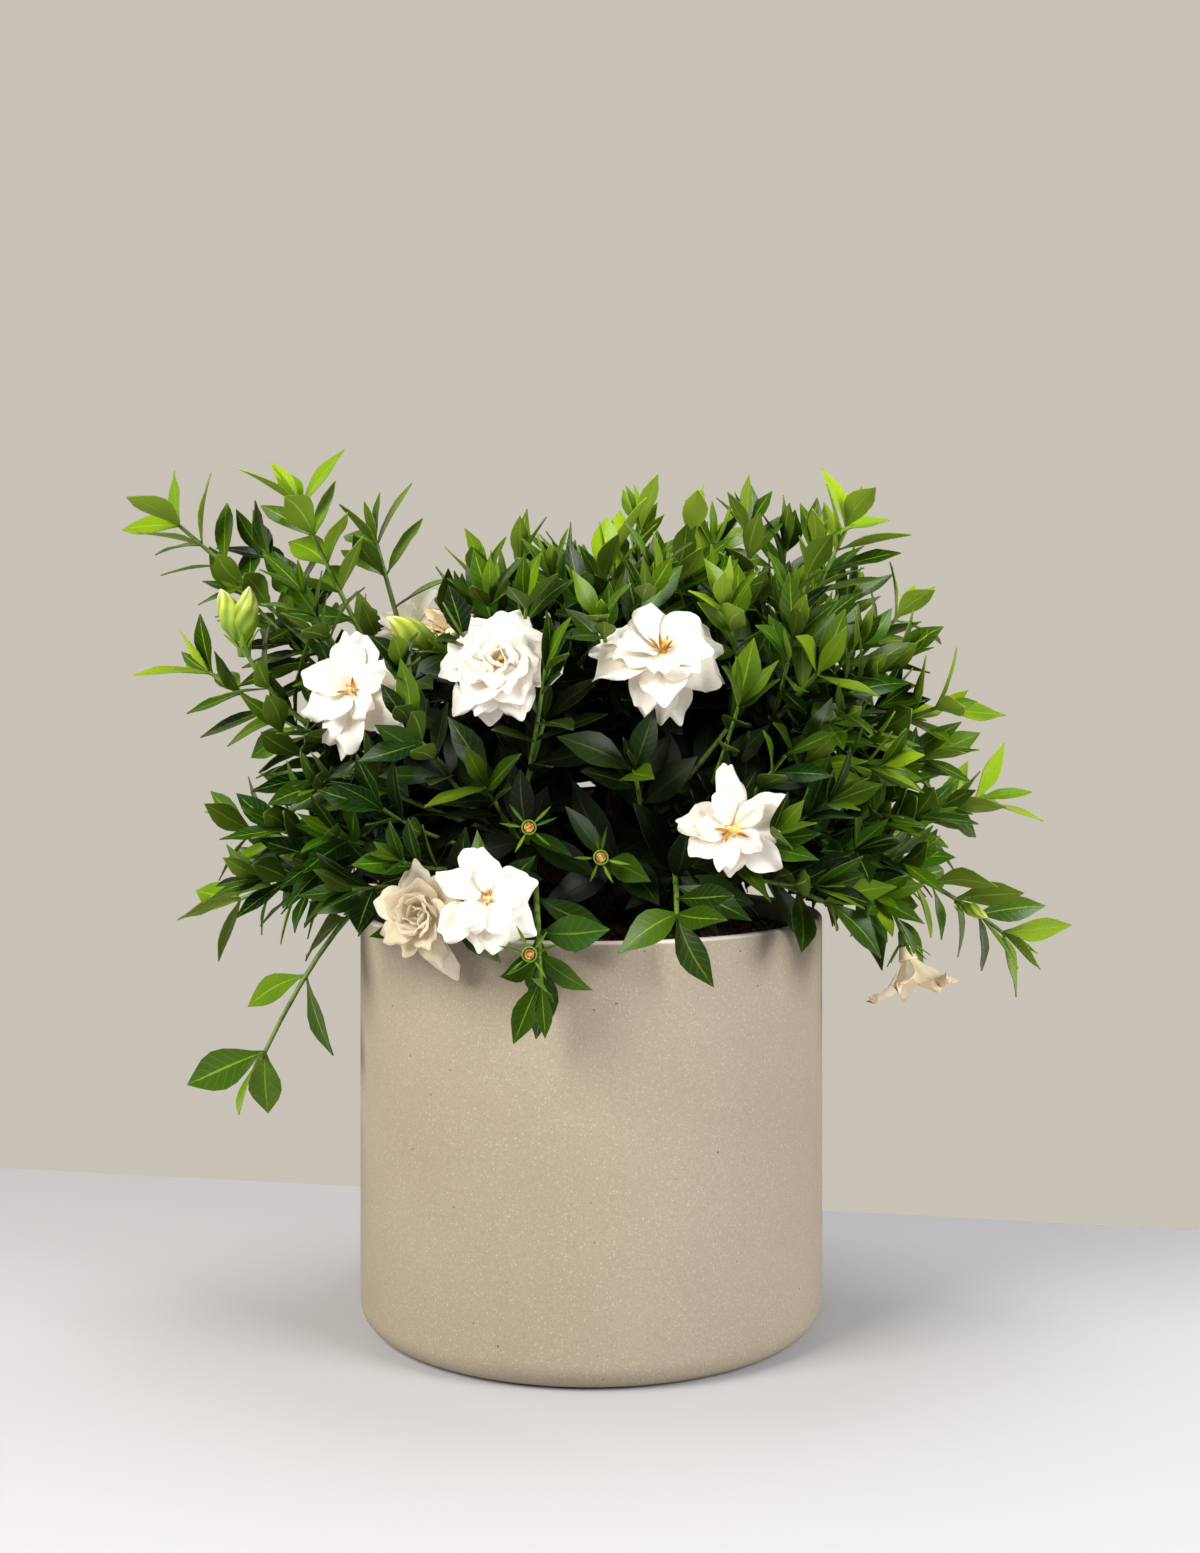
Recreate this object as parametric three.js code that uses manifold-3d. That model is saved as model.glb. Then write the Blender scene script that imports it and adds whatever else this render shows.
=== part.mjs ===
// A gardenia shrub in a round stoneware pot.
//
// Millimetres, +Z up. The origin is the centre of the pot's foot, and the front, where most of the
// blooms open, faces -Y. The pot is a thick-walled cup filled with potting soil. One woody crown
// stands in a plain hole in the soil and forks into limbs. Each limb carries green shoots with
// whorls of leaves, and some shoots end in a bloom, a bud, or the star-shaped calyx of a flower
// that has dropped.

import * as THREE from "three";
import { mergeVertices } from "three/addons/utils/BufferGeometryUtils.js";
import Module from "manifold-3d";

const wasm = await Module();
wasm.setup();

// ---------- Driving dimensions ----------

const seatGap = 0.3; // between pieces that touch

const potRadius = 150;
const potHeight = 264;
const potWall = 8;
const potFloor = 12;
const footRound = 18; // radius of the rounded foot
const lipRound = 3; // radius of the rounded rim
const potSides = 36;

const soilBelowRim = 13;
const soilTop = potHeight - soilBelowRim;
const soilCrown = 5; // how much higher the soil is at the trunk

const trunkRadius = 12;
const trunkDepth = 38; // of trunk in the soil
const trunkTop = soilTop + 16;

const crownSpread = 5; // from the trunk's axis to where the limbs start
const limbArch = 14; // how far a limb's middle is raised
const limbRadius = [6, 4.2]; // at the trunk, at the fork
const twigRadius = [3.2, 2.3]; // at the fork, at the green shoot
const shootRadius = [2.1, 1.4]; // at the twig, at the tip
const twigSpacing = 0.07; // between the twigs along a limb, as a share of it
const leastWoody = 0.12; // share of a shoot's length that is always woody
const mostStray = 0.8; // of a stem's straight stretches from its curve

const leafLength = 51;
const leafSlimness = 0.35; // width over length
const leafThickness = 1.5; // at the midrib
const leafFold = 0.28; // how far the two halves rise from the midrib
const leafRows = [0, 0.36, 0.7, 1]; // stations from the root to the tip
const leafWidths = [0, 0.97, 0.76, 0]; // share of the full width there

const petalThickness = 1.3; // at its middle
const petalRows = [0, 0.62, 1];
const petalWidths = [0, 1, 0.55];
const petalCup = 0.14; // how far a petal's sides rise from its middle
const petalTilt = 14; // degrees, so that each petal lies over the next
const petalRoot = 3.5; // from the flower's middle to where its petals start
const throatRadius = 6.5;
const throatHeight = 4.2;
const bloomTube = 17; // from the calyx to the throat

const budLength = 33;
const budRadius = 6.6;

const up = new THREE.Vector3(0, 0, 1);
const degree = Math.PI / 180;
const fullTurn = 2 * Math.PI;

// ---------- The plant's plan ----------

// Each limb ends in a fork, and its shoots run from there to their tips. `lift` raises the middle
// of a shoot, so that it arches over, or lowers it, so that it sweeps up. `green` is the length of
// its leafy end. `whorls` lists how many leaves stand at each node, from the oldest to the tip.
// `branches` leave the shoot at `from`, a share of its curve, and are green all along.
// A shoot with a `bloom`, `buds` or a `calyx` ends in it, and `facing` is the way that looks.

const limbs = [
  {
    fork: [-112, 5, 362],
    shoots: [
      { name: "left_high", tip: [-272, 0, 518], lift: 10, green: 150, whorls: [2, 2, 2, 3] },
      { name: "left_top", tip: [-190, -14, 530], lift: -8, green: 140, whorls: [2, 2, 2, 3] },
      { name: "left_top_side", tip: [-142, 12, 506], lift: -4, green: 100, whorls: [2, 3, 3] },
      { name: "left_reach", tip: [-252, 12, 420], lift: -20, green: 100, whorls: [2, 2, 3] },
      {
        name: "left_buds", tip: [-222, -34, 438], lift: -18, green: 80, whorls: [2, 2], buds: 2,
        facing: [-0.36, -0.1, 0.93],
      },
      { name: "left_back_high", tip: [-158, 108, 448], lift: 0, green: 100, whorls: [2, 2, 3] },
    ],
  },
  {
    fork: [-108, -12, 302],
    shoots: [
      { name: "left_mid", tip: [-200, -30, 384], lift: -12, green: 96, whorls: [2, 3, 3] },
      { name: "left_low", tip: [-222, -14, 318], lift: -6, green: 100, whorls: [2, 2, 3] },
      { name: "left_rim", tip: [-236, 26, 268], lift: 16, green: 110, whorls: [2, 2, 3] },
      { name: "left_hanging", tip: [-208, -48, 176], lift: 72, green: 140, whorls: [2, 1, 2, 3] },
    ],
  },
  {
    fork: [-48, -62, 306],
    shoots: [
      {
        name: "bloom_low_left", bloom: "rose", size: 26, tip: [-96, -152, 280],
        facing: [-0.42, -0.88, 0.12], green: 52, whorls: [3, 3],
      },
      {
        name: "bloom_low", bloom: "open", size: 28, tip: [-60, -172, 291],
        facing: [0.2, -0.92, 0.32], green: 52, whorls: [2, 3],
      },
      {
        name: "calyx_high", calyx: true, tip: [-36, -142, 330],
        facing: [0.05, -0.98, 0.15], green: 62, whorls: [3, 3],
      },
      { name: "front_hanging", tip: [-28, -176, 244], lift: 44, green: 100, whorls: [2, 2, 3, 3] },
      {
        name: "front_left",
        tip: [-62, -116, 352],
        lift: -4,
        green: 62,
        whorls: [2, 3, 3],
        branches: [
          { from: 0.4, tip: [-124, -88, 348], lift: -4, whorls: [2, 3] },
          { from: 0.5, tip: [-28, -104, 392], lift: -4, whorls: [2, 3] },
        ],
      },
    ],
  },
  {
    fork: [56, -60, 300],
    shoots: [
      {
        name: "calyx_mid", calyx: true, tip: [6, -138, 312],
        facing: [0.1, -0.97, 0.2], green: 62, whorls: [3, 3],
      },
      { name: "front_rim", tip: [50, -156, 280], lift: 16, green: 80, whorls: [2, 3, 3] },
      {
        name: "bloom_right", bloom: "open", size: 29, tip: [82, -142, 328],
        facing: [0.12, -0.97, 0.18], green: 58, whorls: [2, 3],
      },
      { name: "right_rim", tip: [142, -112, 282], lift: 14, green: 90, whorls: [2, 3, 3] },
      {
        name: "front_right",
        tip: [26, -112, 362],
        lift: -4,
        green: 66,
        whorls: [2, 3, 3],
        branches: [
          { from: 0.35, tip: [128, -104, 364], lift: -4, whorls: [2, 3] },
          { from: 0.5, tip: [84, -96, 388], lift: -4, whorls: [2, 3] },
        ],
      },
    ],
  },
  {
    fork: [128, -4, 306],
    shoots: [
      { name: "right_low", tip: [268, -16, 250], lift: 30, green: 120, whorls: [2, 2, 2, 3] },
      { name: "right_reach", tip: [256, 16, 336], lift: -4, green: 110, whorls: [2, 2, 3] },
      {
        name: "bloom_hanging", bloom: "withered", size: 30, tip: [200, -46, 240],
        facing: [0.2, -0.3, -0.93], green: 66, whorls: [3, 2],
      },
      { name: "right_back_low", tip: [196, 92, 300], lift: 8, green: 100, whorls: [2, 2, 3] },
    ],
  },
  {
    fork: [112, 0, 372],
    shoots: [
      { name: "right_mid", tip: [222, -30, 398], lift: -10, green: 100, whorls: [2, 2, 3] },
      { name: "right_high", tip: [200, 0, 456], lift: -6, green: 96, whorls: [2, 2, 3] },
      { name: "right_top", tip: [168, 2, 516], lift: 6, green: 120, whorls: [2, 2, 2, 3] },
      { name: "right_back_high", tip: [168, 104, 424], lift: 0, green: 96, whorls: [2, 2, 3] },
      { name: "right_front", tip: [138, -92, 420], lift: 0, green: 84, whorls: [2, 2, 3] },
    ],
  },
  {
    fork: [22, -4, 384],
    shoots: [
      { name: "top_right", tip: [80, 0, 500], lift: 0, green: 100, whorls: [2, 2, 2, 3] },
      { name: "top_mid", tip: [14, -6, 496], lift: 0, green: 92, whorls: [2, 2, 2, 3] },
      {
        name: "bloom_mid", bloom: "open", size: 37, tip: [42, -112, 432],
        facing: [0.12, -0.74, 0.66], green: 62, whorls: [2, 3],
      },
      { name: "top_back", tip: [40, 96, 470], lift: 0, green: 92, whorls: [2, 2, 3] },
    ],
  },
  {
    fork: [-52, -4, 372],
    shoots: [
      { name: "top_left", tip: [-64, 4, 466], lift: 0, green: 84, whorls: [2, 3, 3] },
      {
        name: "bloom_left", bloom: "open", size: 32, tip: [-148, -66, 408],
        facing: [-0.2, -0.94, 0.28], green: 54, whorls: [2, 3],
      },
      {
        name: "bloom_center", bloom: "open", size: 33, tip: [-56, -114, 426],
        facing: [0.05, -0.92, 0.38], green: 58, whorls: [3, 2],
      },
      {
        name: "bloom_behind", bloom: "rose", size: 28, tip: [-124, 36, 446],
        facing: [-0.4, -0.5, 0.77], green: 54, whorls: [2, 2],
      },
      {
        name: "bloom_brown", bloom: "withered", size: 17, tip: [-90, -36, 446],
        facing: [-0.15, -0.75, 0.64], green: 48, whorls: [3],
      },
      {
        name: "small_bud", buds: 1, tip: [-96, -62, 436],
        facing: [-0.8, -0.35, 0.48], green: 50, whorls: [3],
      },
    ],
  },
  {
    fork: [-40, 66, 316],
    shoots: [
      {
        name: "back_left",
        tip: [-84, 144, 410],
        lift: 0,
        green: 90,
        whorls: [2, 2, 3],
        branches: [{ from: 0.42, tip: [-142, 130, 330], lift: 4, whorls: [2, 3] }],
      },
      { name: "back_low", tip: [-42, 178, 316], lift: 4, green: 90, whorls: [2, 2, 3] },
    ],
  },
  {
    fork: [44, 66, 316],
    shoots: [
      { name: "back_mid", tip: [14, 150, 402], lift: 0, green: 90, whorls: [2, 2, 3] },
      {
        name: "back_right",
        tip: [104, 138, 386],
        lift: 0,
        green: 90,
        whorls: [2, 2, 3],
        branches: [{ from: 0.36, tip: [76, 172, 306], lift: 4, whorls: [2, 3] }],
      },
    ],
  },
];

// Petal layers of each kind of bloom, from the outside in. `rise` is each petal's angle in degrees
// above the plane that the bloom faces, `long` and `wide` are shares of the bloom's size, and
// `curl` bends the petal's end towards the heart, or away from it where it is below zero.
const petalLayers = {
  open: [
    { count: 6, height: 0, rise: 5, long: 1, wide: 0.8, curl: -0.13 },
    { count: 5, height: 2.6, rise: 38, long: 0.7, wide: 0.62, curl: -0.16 },
  ],
  rose: [
    { count: 6, height: 0, rise: 8, long: 1, wide: 0.8, curl: -0.16 },
    { count: 5, height: 2.6, rise: 54, long: 0.62, wide: 0.62, curl: 0.1 },
  ],
  withered: [{ count: 6, height: 1, rise: 62, long: 1, wide: 0.56, curl: -0.3 }],
};

// ---------- Solids ----------

// A closed three.js geometry as a manifold-3d solid, without the triangles that merging collapsed.
function solid(geometry) {
  const bare = new THREE.BufferGeometry();
  bare.setAttribute("position", geometry.getAttribute("position"));
  bare.setIndex(geometry.index);
  const merged = mergeVertices(bare, 1e-4);
  const corners = [];
  for (let i = 0; i < merged.index.count; i += 3) {
    const [a, b, c] = [0, 1, 2].map((k) => merged.index.getX(i + k));
    if (a !== b && b !== c && a !== c) corners.push(a, b, c);
  }
  const vertProperties = new Float32Array(merged.getAttribute("position").array);
  const triVerts = new Uint32Array(corners);
  return new wasm.Manifold(new wasm.Mesh({ numProp: 3, vertProperties, triVerts }));
}

// Solids joined into one, as a named mesh.
function fused(name, solids, material) {
  const whole = solids.reduce((sum, next) => sum.add(next));
  const { vertProperties, triVerts } = whole.getMesh();
  const geometry = new THREE.BufferGeometry();
  geometry.setAttribute("position", new THREE.BufferAttribute(vertProperties, 3));
  geometry.setIndex(new THREE.BufferAttribute(triVerts, 1));
  geometry.computeVertexNormals();
  return named(name, geometry, material);
}

function named(name, geometry, material) {
  const mesh = new THREE.Mesh(geometry, material);
  mesh.name = name;
  return mesh;
}

// A turned shape from its profile of [radius, height] points, standing along +Z.
function turned(profile, sides) {
  const points = profile.map(([radius, height]) => new THREE.Vector2(radius, height));
  return new THREE.LatheGeometry(points, sides).rotateX(Math.PI / 2);
}

// A leaf's or petal's blade, thickest along its midrib, whose two faces meet at its outline.
// surface(u, row) gives its points, for u = -1, 0 and 1 across each row from root to tip, and
// `face` is the way that its front looks. Both faces are split alike, so they never cross.
function blade(rows, thickness, face, surface) {
  const points = [];
  for (const offset of [thickness / 2, -thickness / 2]) {
    for (let row = 0; row < rows; row++) {
      for (const u of [-1, 0, 1]) {
        const inside = u === 0 && row > 0 && row < rows - 1;
        points.push(surface(u, row).addScaledVector(face, inside ? offset : 0));
      }
    }
  }
  const back = rows * 3;
  const corners = [];
  for (let low = 1; low < back - 3; low += 3) {
    const high = low + 3;
    for (const [b, c] of [[low + 1, high + 1], [high + 1, high], [high, high - 1], [high - 1, low - 1]]) {
      corners.push(low, b, c, back + low, back + c, back + b);
    }
  }
  return solid(new THREE.BufferGeometry().setFromPoints(points).setIndex(corners));
}

// ---------- Stems ----------

// The point of a stem's curve at t, the way it runs there, and two directions square to that.
function along(curve, t) {
  const at = curve.getPoint(t);
  const heading = curve.v1.clone().sub(curve.v0).multiplyScalar(1 - t);
  heading.addScaledVector(curve.v2.clone().sub(curve.v1), t).normalize();
  const side = curve.v2.clone().sub(curve.v0).cross(up);
  if (side.length() < 1) side.set(1, 0, 0);
  side.addScaledVector(heading, -side.dot(heading)).normalize();
  return { at, heading, side, over: side.clone().cross(heading) };
}

// A round tapering stem over part of a curve: a cylinder whose rings are moved onto the curve, in
// enough steps to keep its straight stretches near the curve.
function stem(curve, from, to, radii, sides) {
  const bend = curve.v0.clone().lerp(curve.v2, 0.5).distanceTo(curve.v1);
  const steps = Math.max(1, Math.ceil((to - from) * Math.sqrt(bend / (2 * mostStray))));
  const geometry = new THREE.CylinderGeometry(1, 1, 1, sides, steps);
  const spot = geometry.getAttribute("position");
  for (let i = 0; i < spot.count; i++) {
    const share = spot.getY(i) + 0.5;
    const { at, side, over } = along(curve, from + (to - from) * share);
    const radius = radii[0] + (radii[1] - radii[0]) * share;
    at.addScaledVector(side, spot.getX(i) * radius).addScaledVector(over, spot.getZ(i) * radius);
    spot.setXYZ(i, at.x, at.y, at.z);
  }
  return solid(geometry);
}

const unit = (list) => new THREE.Vector3(...list).normalize();

// The curve from a fork to the end of a shoot. A shoot that ends in a flower or bud arrives along
// the way that looks, and stops where its calyx is.
function shootCurve(fork, shoot) {
  const start = new THREE.Vector3(...fork);
  const end = new THREE.Vector3(...shoot.tip);
  if (shoot.bloom) end.addScaledVector(unit(shoot.facing), -bloomTube);
  const middle = start.clone().add(end).multiplyScalar(0.5);
  if (shoot.facing) {
    const reach = start.distanceTo(end) * 0.4;
    middle.copy(end).addScaledVector(unit(shoot.facing), -reach);
  } else {
    middle.z += shoot.lift;
  }
  return new THREE.QuadraticBezierCurve3(start, middle, end);
}

// ---------- Where things already are ----------

// Everything placed so far, as balls: x, y, z, radius and what owns it.
const taken = [];
const ballRadius = { limb: 5, stem: 3.4, petal: 4, bloom: 10, bud: 9, calyx: 13 };

function take(points, radius, owner) {
  for (const { x, y, z } of points) taken.push([x, y, z, radius, owner]);
}

// Whether balls at these points would be clear of the pot, the soil and all that others own.
function free(points, radius, owner) {
  for (const { x, y, z } of points) {
    const out = Math.hypot(x, y);
    if (out < potRadius + radius && z < soilTop + soilCrown + radius) return false;
    if (out > potRadius - potWall - radius && out < potRadius + radius && z < potHeight + radius) return false;
    for (const [a, b, c, far, other] of taken) {
      if (other === owner) continue;
      const [dx, dy, dz, reach] = [x - a, y - b, z - c, far + radius];
      if (dx * dx + dy * dy + dz * dz < reach * reach) return false;
    }
  }
  return true;
}

// A plain seeded generator, so that the shrub grows the same way each time.
let state = 1;

function random() {
  state = (state * 1664525 + 1013904223) % 4294967296;
  return state / 4294967296;
}

function seed(number) {
  state = (number * 40503 + 77) % 4294967296;
  random();
}

const spread = (most) => (random() * 2 - 1) * most;

// ---------- Leaves ----------

// A leaf grows from its stem at t. `turn` is its way round the stem and `pitch` its angle from it.
function leafFrame(curve, t, turn, pitch, size, arch) {
  const { at, heading, side, over } = along(curve, t);
  const out = side.multiplyScalar(Math.cos(turn)).addScaledVector(over, Math.sin(turn));
  const run = heading.clone().multiplyScalar(Math.cos(pitch)).addScaledVector(out, Math.sin(pitch));
  const face = heading.clone().multiplyScalar(Math.sin(pitch)).addScaledVector(out, -Math.cos(pitch));
  face.multiplyScalar(0.7).addScaledVector(up, 0.6);
  face.addScaledVector(run, -face.dot(run)).normalize();
  const root = at.addScaledVector(out, -0.5);
  return { root, run, face, width: run.clone().cross(face), size, arch };
}

// A point of a leaf, which folds up from its midrib and arches down to its tip.
function leafPoint(leaf, u, v, widthShare) {
  const half = (leaf.size * leafSlimness * widthShare) / 2;
  return leaf.root
    .clone()
    .addScaledVector(leaf.run, leaf.size * v)
    .addScaledVector(leaf.width, u * half)
    .addScaledVector(leaf.face, leafFold * Math.abs(u) * half - leaf.arch * leaf.size * v * v);
}

function leafSolid(leaf) {
  return blade(leafRows.length, leafThickness, leaf.face, (u, row) =>
    leafPoint(leaf, u, leafRows[row], leafWidths[row]));
}

// Points spread over the outer part of a leaf, which stand for it in free().
function leafBalls(leaf) {
  const rows = [0.35, 0.5, 0.65, 0.8];
  const spots = rows.flatMap((v) => [-0.8, 0, 0.8].map((u) => leafPoint(leaf, u, v, 1)));
  return [...spots, leafPoint(leaf, 0, 1, 0)];
}

const ballShare = 0.095; // radius of a leaf's balls, as a share of its length
const mostTries = 16;
const firstWhorl = 0.15; // share of the green length below the lowest leaves

// The leaves of a shoot. Each is turned a little further, try by try, until it is clear.
function growLeaves({ curve, greenFrom, facing, whorls }, owner, draws) {
  seed(draws);
  const leaves = [];
  const start = random() * fullTurn;
  const topmost = facing ? 0.8 : 0.97;
  whorls.forEach((count, level) => {
    const share = whorls.length > 1 ? level / (whorls.length - 1) : 1;
    const t = greenFrom + (1 - greenFrom) * (firstWhorl + (topmost - firstWhorl) * share);
    for (let i = 0; i < count; i++) {
      const turn = start + level * 1.2 + (i * fullTurn) / count;
      const size = leafLength * (1.06 - 0.16 * share + spread(0.12));
      for (let tries = 0; tries < mostTries; tries++) {
        const swing = 0.1 + tries * 0.04;
        const pitch = (66 - 28 * share) * degree + spread(swing);
        const leaf = leafFrame(curve, t, turn + spread(swing * 2), pitch, size, 0.14 + spread(0.1));
        const balls = leafBalls(leaf);
        if (!free(balls, size * ballShare, owner)) continue;
        leaves.push(leaf);
        take(balls, size * ballShare, "leaf");
        break;
      }
    }
  });
  return leaves;
}

// ---------- Blooms ----------

// A frame that looks along `facing`, with two directions across it.
function flowerFrame(shoot) {
  const front = unit(shoot.facing);
  const side = up.clone().cross(front).normalize();
  return { centre: new THREE.Vector3(...shoot.tip), front, side, top: front.clone().cross(side) };
}

// A petal, or another blade that stands round a flower's middle. Each lies over the next.
function petalFrame({ centre, front, side, top }, { height, rise, long, wide, curl }, size, turn) {
  const lean = rise * degree;
  const out = side.clone().multiplyScalar(Math.cos(turn)).addScaledVector(top, Math.sin(turn));
  const run = out.clone().multiplyScalar(Math.cos(lean)).addScaledVector(front, Math.sin(lean));
  const face = out.clone().multiplyScalar(-Math.sin(lean)).addScaledVector(front, Math.cos(lean));
  face.applyAxisAngle(run, petalTilt * degree);
  const start = centre.clone().addScaledVector(out, petalRoot).addScaledVector(front, height);
  return { start, run, face, width: run.clone().cross(face), long: size * long, half: (size * wide) / 2, curl };
}

function petalPoint(petal, u, v, widthShare) {
  const half = petal.half * widthShare;
  return petal.start
    .clone()
    .addScaledVector(petal.run, petal.long * v)
    .addScaledVector(petal.width, u * half)
    .addScaledVector(petal.face, petal.curl * petal.long * v * v + petalCup * u * u * half);
}

function petalSolid(petal) {
  return blade(petalRows.length, petalThickness, petal.face, (u, row) => {
    const v = row === 2 && u !== 0 ? 0.94 : petalRows[row];
    return petalPoint(petal, u, v, petalWidths[row]);
  });
}

function petalBalls(petal) {
  const rows = [0.45, 0.72, 0.96];
  return rows.flatMap((v) => [-0.7, 0, 0.7].map((u) => petalPoint(petal, u, v, 0.9)));
}

function growPetals(shoot, number) {
  seed(number + 500);
  const flower = flowerFrame(shoot);
  const petals = [];
  for (const layer of petalLayers[shoot.bloom]) {
    const start = random() * fullTurn;
    for (let i = 0; i < layer.count; i++) {
      const turn = start + ((i + spread(0.1)) * fullTurn) / layer.count;
      const size = shoot.size * (1 + spread(0.07));
      petals.push(petalFrame(flower, layer, size, turn));
    }
  }
  return petals;
}

// Turns a shape that stands along +Z to stand along the flower's facing, at its middle.
function onFlower(geometry, { side, top, front, centre }) {
  return geometry.applyMatrix4(new THREE.Matrix4().makeBasis(side, top, front).setPosition(centre));
}

// The tube and throat that carry the petals. It starts a seat's gap in front of the stem's end.
const throatProfile = [
  [0, seatGap - bloomTube],
  [2.3, seatGap - bloomTube],
  [throatRadius, -1.2],
  [throatRadius, 1.2],
  [throatRadius - 2, throatHeight - 0.6],
  [0, throatHeight],
];

// A column of rings round +Z. ring(share, turn) gives the radius and height of each of its points,
// for `share` from 0 to 1 up the column, and `twist` winds the column as it rises.
function column(sides, rings, twist, ring) {
  const geometry = new THREE.CylinderGeometry(1, 1, 1, sides, rings - 1);
  const spot = geometry.getAttribute("position");
  for (let i = 0; i < spot.count; i++) {
    const share = spot.getY(i) + 0.5;
    const turn = Math.atan2(spot.getX(i), spot.getZ(i));
    const [radius, height] = ring(share, turn);
    const out = radius * Math.hypot(spot.getX(i), spot.getZ(i));
    spot.setXYZ(i, out * Math.cos(turn + twist * share), out * Math.sin(turn + twist * share), height);
  }
  return geometry;
}

// The style, with five anthers that spread from it as ridges, standing on the throat.
const heartRings = [
  { radius: 2.2, spread: 0, height: 0 },
  { radius: 2.3, spread: 0.3, height: 3 },
  { radius: 4.6, spread: 3, height: 6.5 },
  { radius: 0.9, spread: 0, height: 12 },
];
const antherCount = 5;

function heartSolid(flower) {
  const geometry = column(antherCount * 2, heartRings.length, 0, (share, turn) => {
    const ring = heartRings[Math.round(share * (heartRings.length - 1))];
    const ridge = Math.cos(antherCount * turn) * ring.spread;
    return [ring.radius + ridge, throatHeight + seatGap + ring.height + ridge / 2];
  });
  return solid(onFlower(geometry, flower));
}

// ---------- Buds and calyces ----------

const budSwell = [0.4, 0.78, 1, 0.72, 0.14]; // radius up the bud, as a share of the widest

// A pointed bud, whose furled petals wind round it.
function budSolid(flower) {
  const geometry = column(6, budSwell.length, 1.2, (share) => [
    budRadius * budSwell[Math.round(share * (budSwell.length - 1))],
    budLength * share,
  ]);
  return solid(onFlower(geometry, flower));
}

// One bud, or two that lean apart, sunk a little into the stem's end.
function budSolids(shoot) {
  return Array.from({ length: shoot.buds }, (_, i) => {
    const [x, y, z] = shoot.facing;
    const flower = flowerFrame({ tip: shoot.tip, facing: [x + 0.5 * i, y - 0.12 * i, z] });
    flower.centre.addScaledVector(flower.front, -1);
    return budSolid(flower);
  });
}

const cupProfile = [[0, -3], [2, -3], [4.6, 0.2], [4.6, 1.6], [3, 1.8], [0, 0.4]];
const sepal = { height: 0.4, rise: 18, long: 15, wide: 3, curl: 0.12 };
const sepalCount = 6;

// The star of sepals round the shallow cup that a dropped flower leaves.
function calyxSolids(flower) {
  const solids = [solid(onFlower(turned(cupProfile, 6), flower))];
  for (let i = 0; i < sepalCount; i++) {
    const frame = petalFrame(flower, sepal, 1, (i * fullTurn) / sepalCount);
    const outline = (u, row) => petalPoint(frame, u, row / 2, row === 1 ? 1 : 0);
    solids.push(blade(3, petalThickness, frame.face, outline));
  }
  return solids;
}

// ---------- Materials ----------

const matt = (color, roughness) => new THREE.MeshStandardMaterial({ color, roughness, metalness: 0 });
const stoneware = matt(0xc3b39b, 0.75);
const pottingSoil = matt(0x2a1a12, 0.95);
const bark = matt(0x6b513a, 0.85);
const foliage = matt(0x2f6420, 0.4);
const whitePetal = matt(0xf6f1e6, 0.6);
const fadedPetal = matt(0xe6cf95, 0.7);
const anthers = matt(0xd9992c, 0.6);

// ---------- The pot and the soil ----------

// Points of an arc round [x, y], from one angle to another in degrees.
function arcPoints(x, y, radius, from, to, steps) {
  return Array.from({ length: steps + 1 }, (_, i) => {
    const angle = (from + ((to - from) * i) / steps) * degree;
    return [x + radius * Math.cos(angle), y + radius * Math.sin(angle)];
  });
}

function pot() {
  const inner = potRadius - potWall;
  const profile = [
    [0, 0],
    ...arcPoints(potRadius - footRound, footRound, footRound, -90, 0, 4),
    ...arcPoints(potRadius - lipRound, potHeight - lipRound, lipRound, 0, 90, 2),
    ...arcPoints(inner + lipRound, potHeight - lipRound, lipRound, 90, 180, 2),
    [inner, potFloor],
    [0, potFloor],
  ];
  return named("pot", turned(profile, potSides), stoneware);
}

// The soil fills the pot up to its rounded top, which a formula makes uneven.
function soil() {
  const outer = potRadius - potWall - seatGap - 0.2;
  const hole = trunkRadius + seatGap;
  const holeFloor = soilTop - trunkDepth - seatGap;
  const profile = [
    [0, potFloor + seatGap],
    [outer, potFloor + seatGap],
    [outer, soilTop - 3],
    [outer - 30, soilTop],
    [outer - 70, soilTop + 3],
    [hole, soilTop + soilCrown],
    [hole, holeFloor],
    [0, holeFloor],
  ];
  const geometry = turned(profile, potSides);
  const spot = geometry.getAttribute("position");
  for (let i = 0; i < spot.count; i++) {
    const [x, y, z] = [spot.getX(i), spot.getY(i), spot.getZ(i)];
    const out = Math.hypot(x, y);
    const uneven = z > soilTop - 2 && out < outer - 4 && out > hole + 1;
    if (uneven) spot.setZ(i, z + 1.4 * Math.sin(x * 0.31) * Math.cos(y * 0.27));
  }
  return named("soil", geometry, pottingSoil);
}

// ---------- The shrub ----------

const trunkProfile = [
  [0, soilTop - trunkDepth],
  [trunkRadius, soilTop - trunkDepth],
  [trunkRadius, soilTop + 6],
  [trunkRadius - 3, trunkTop],
  [0, trunkTop + 2],
];

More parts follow.
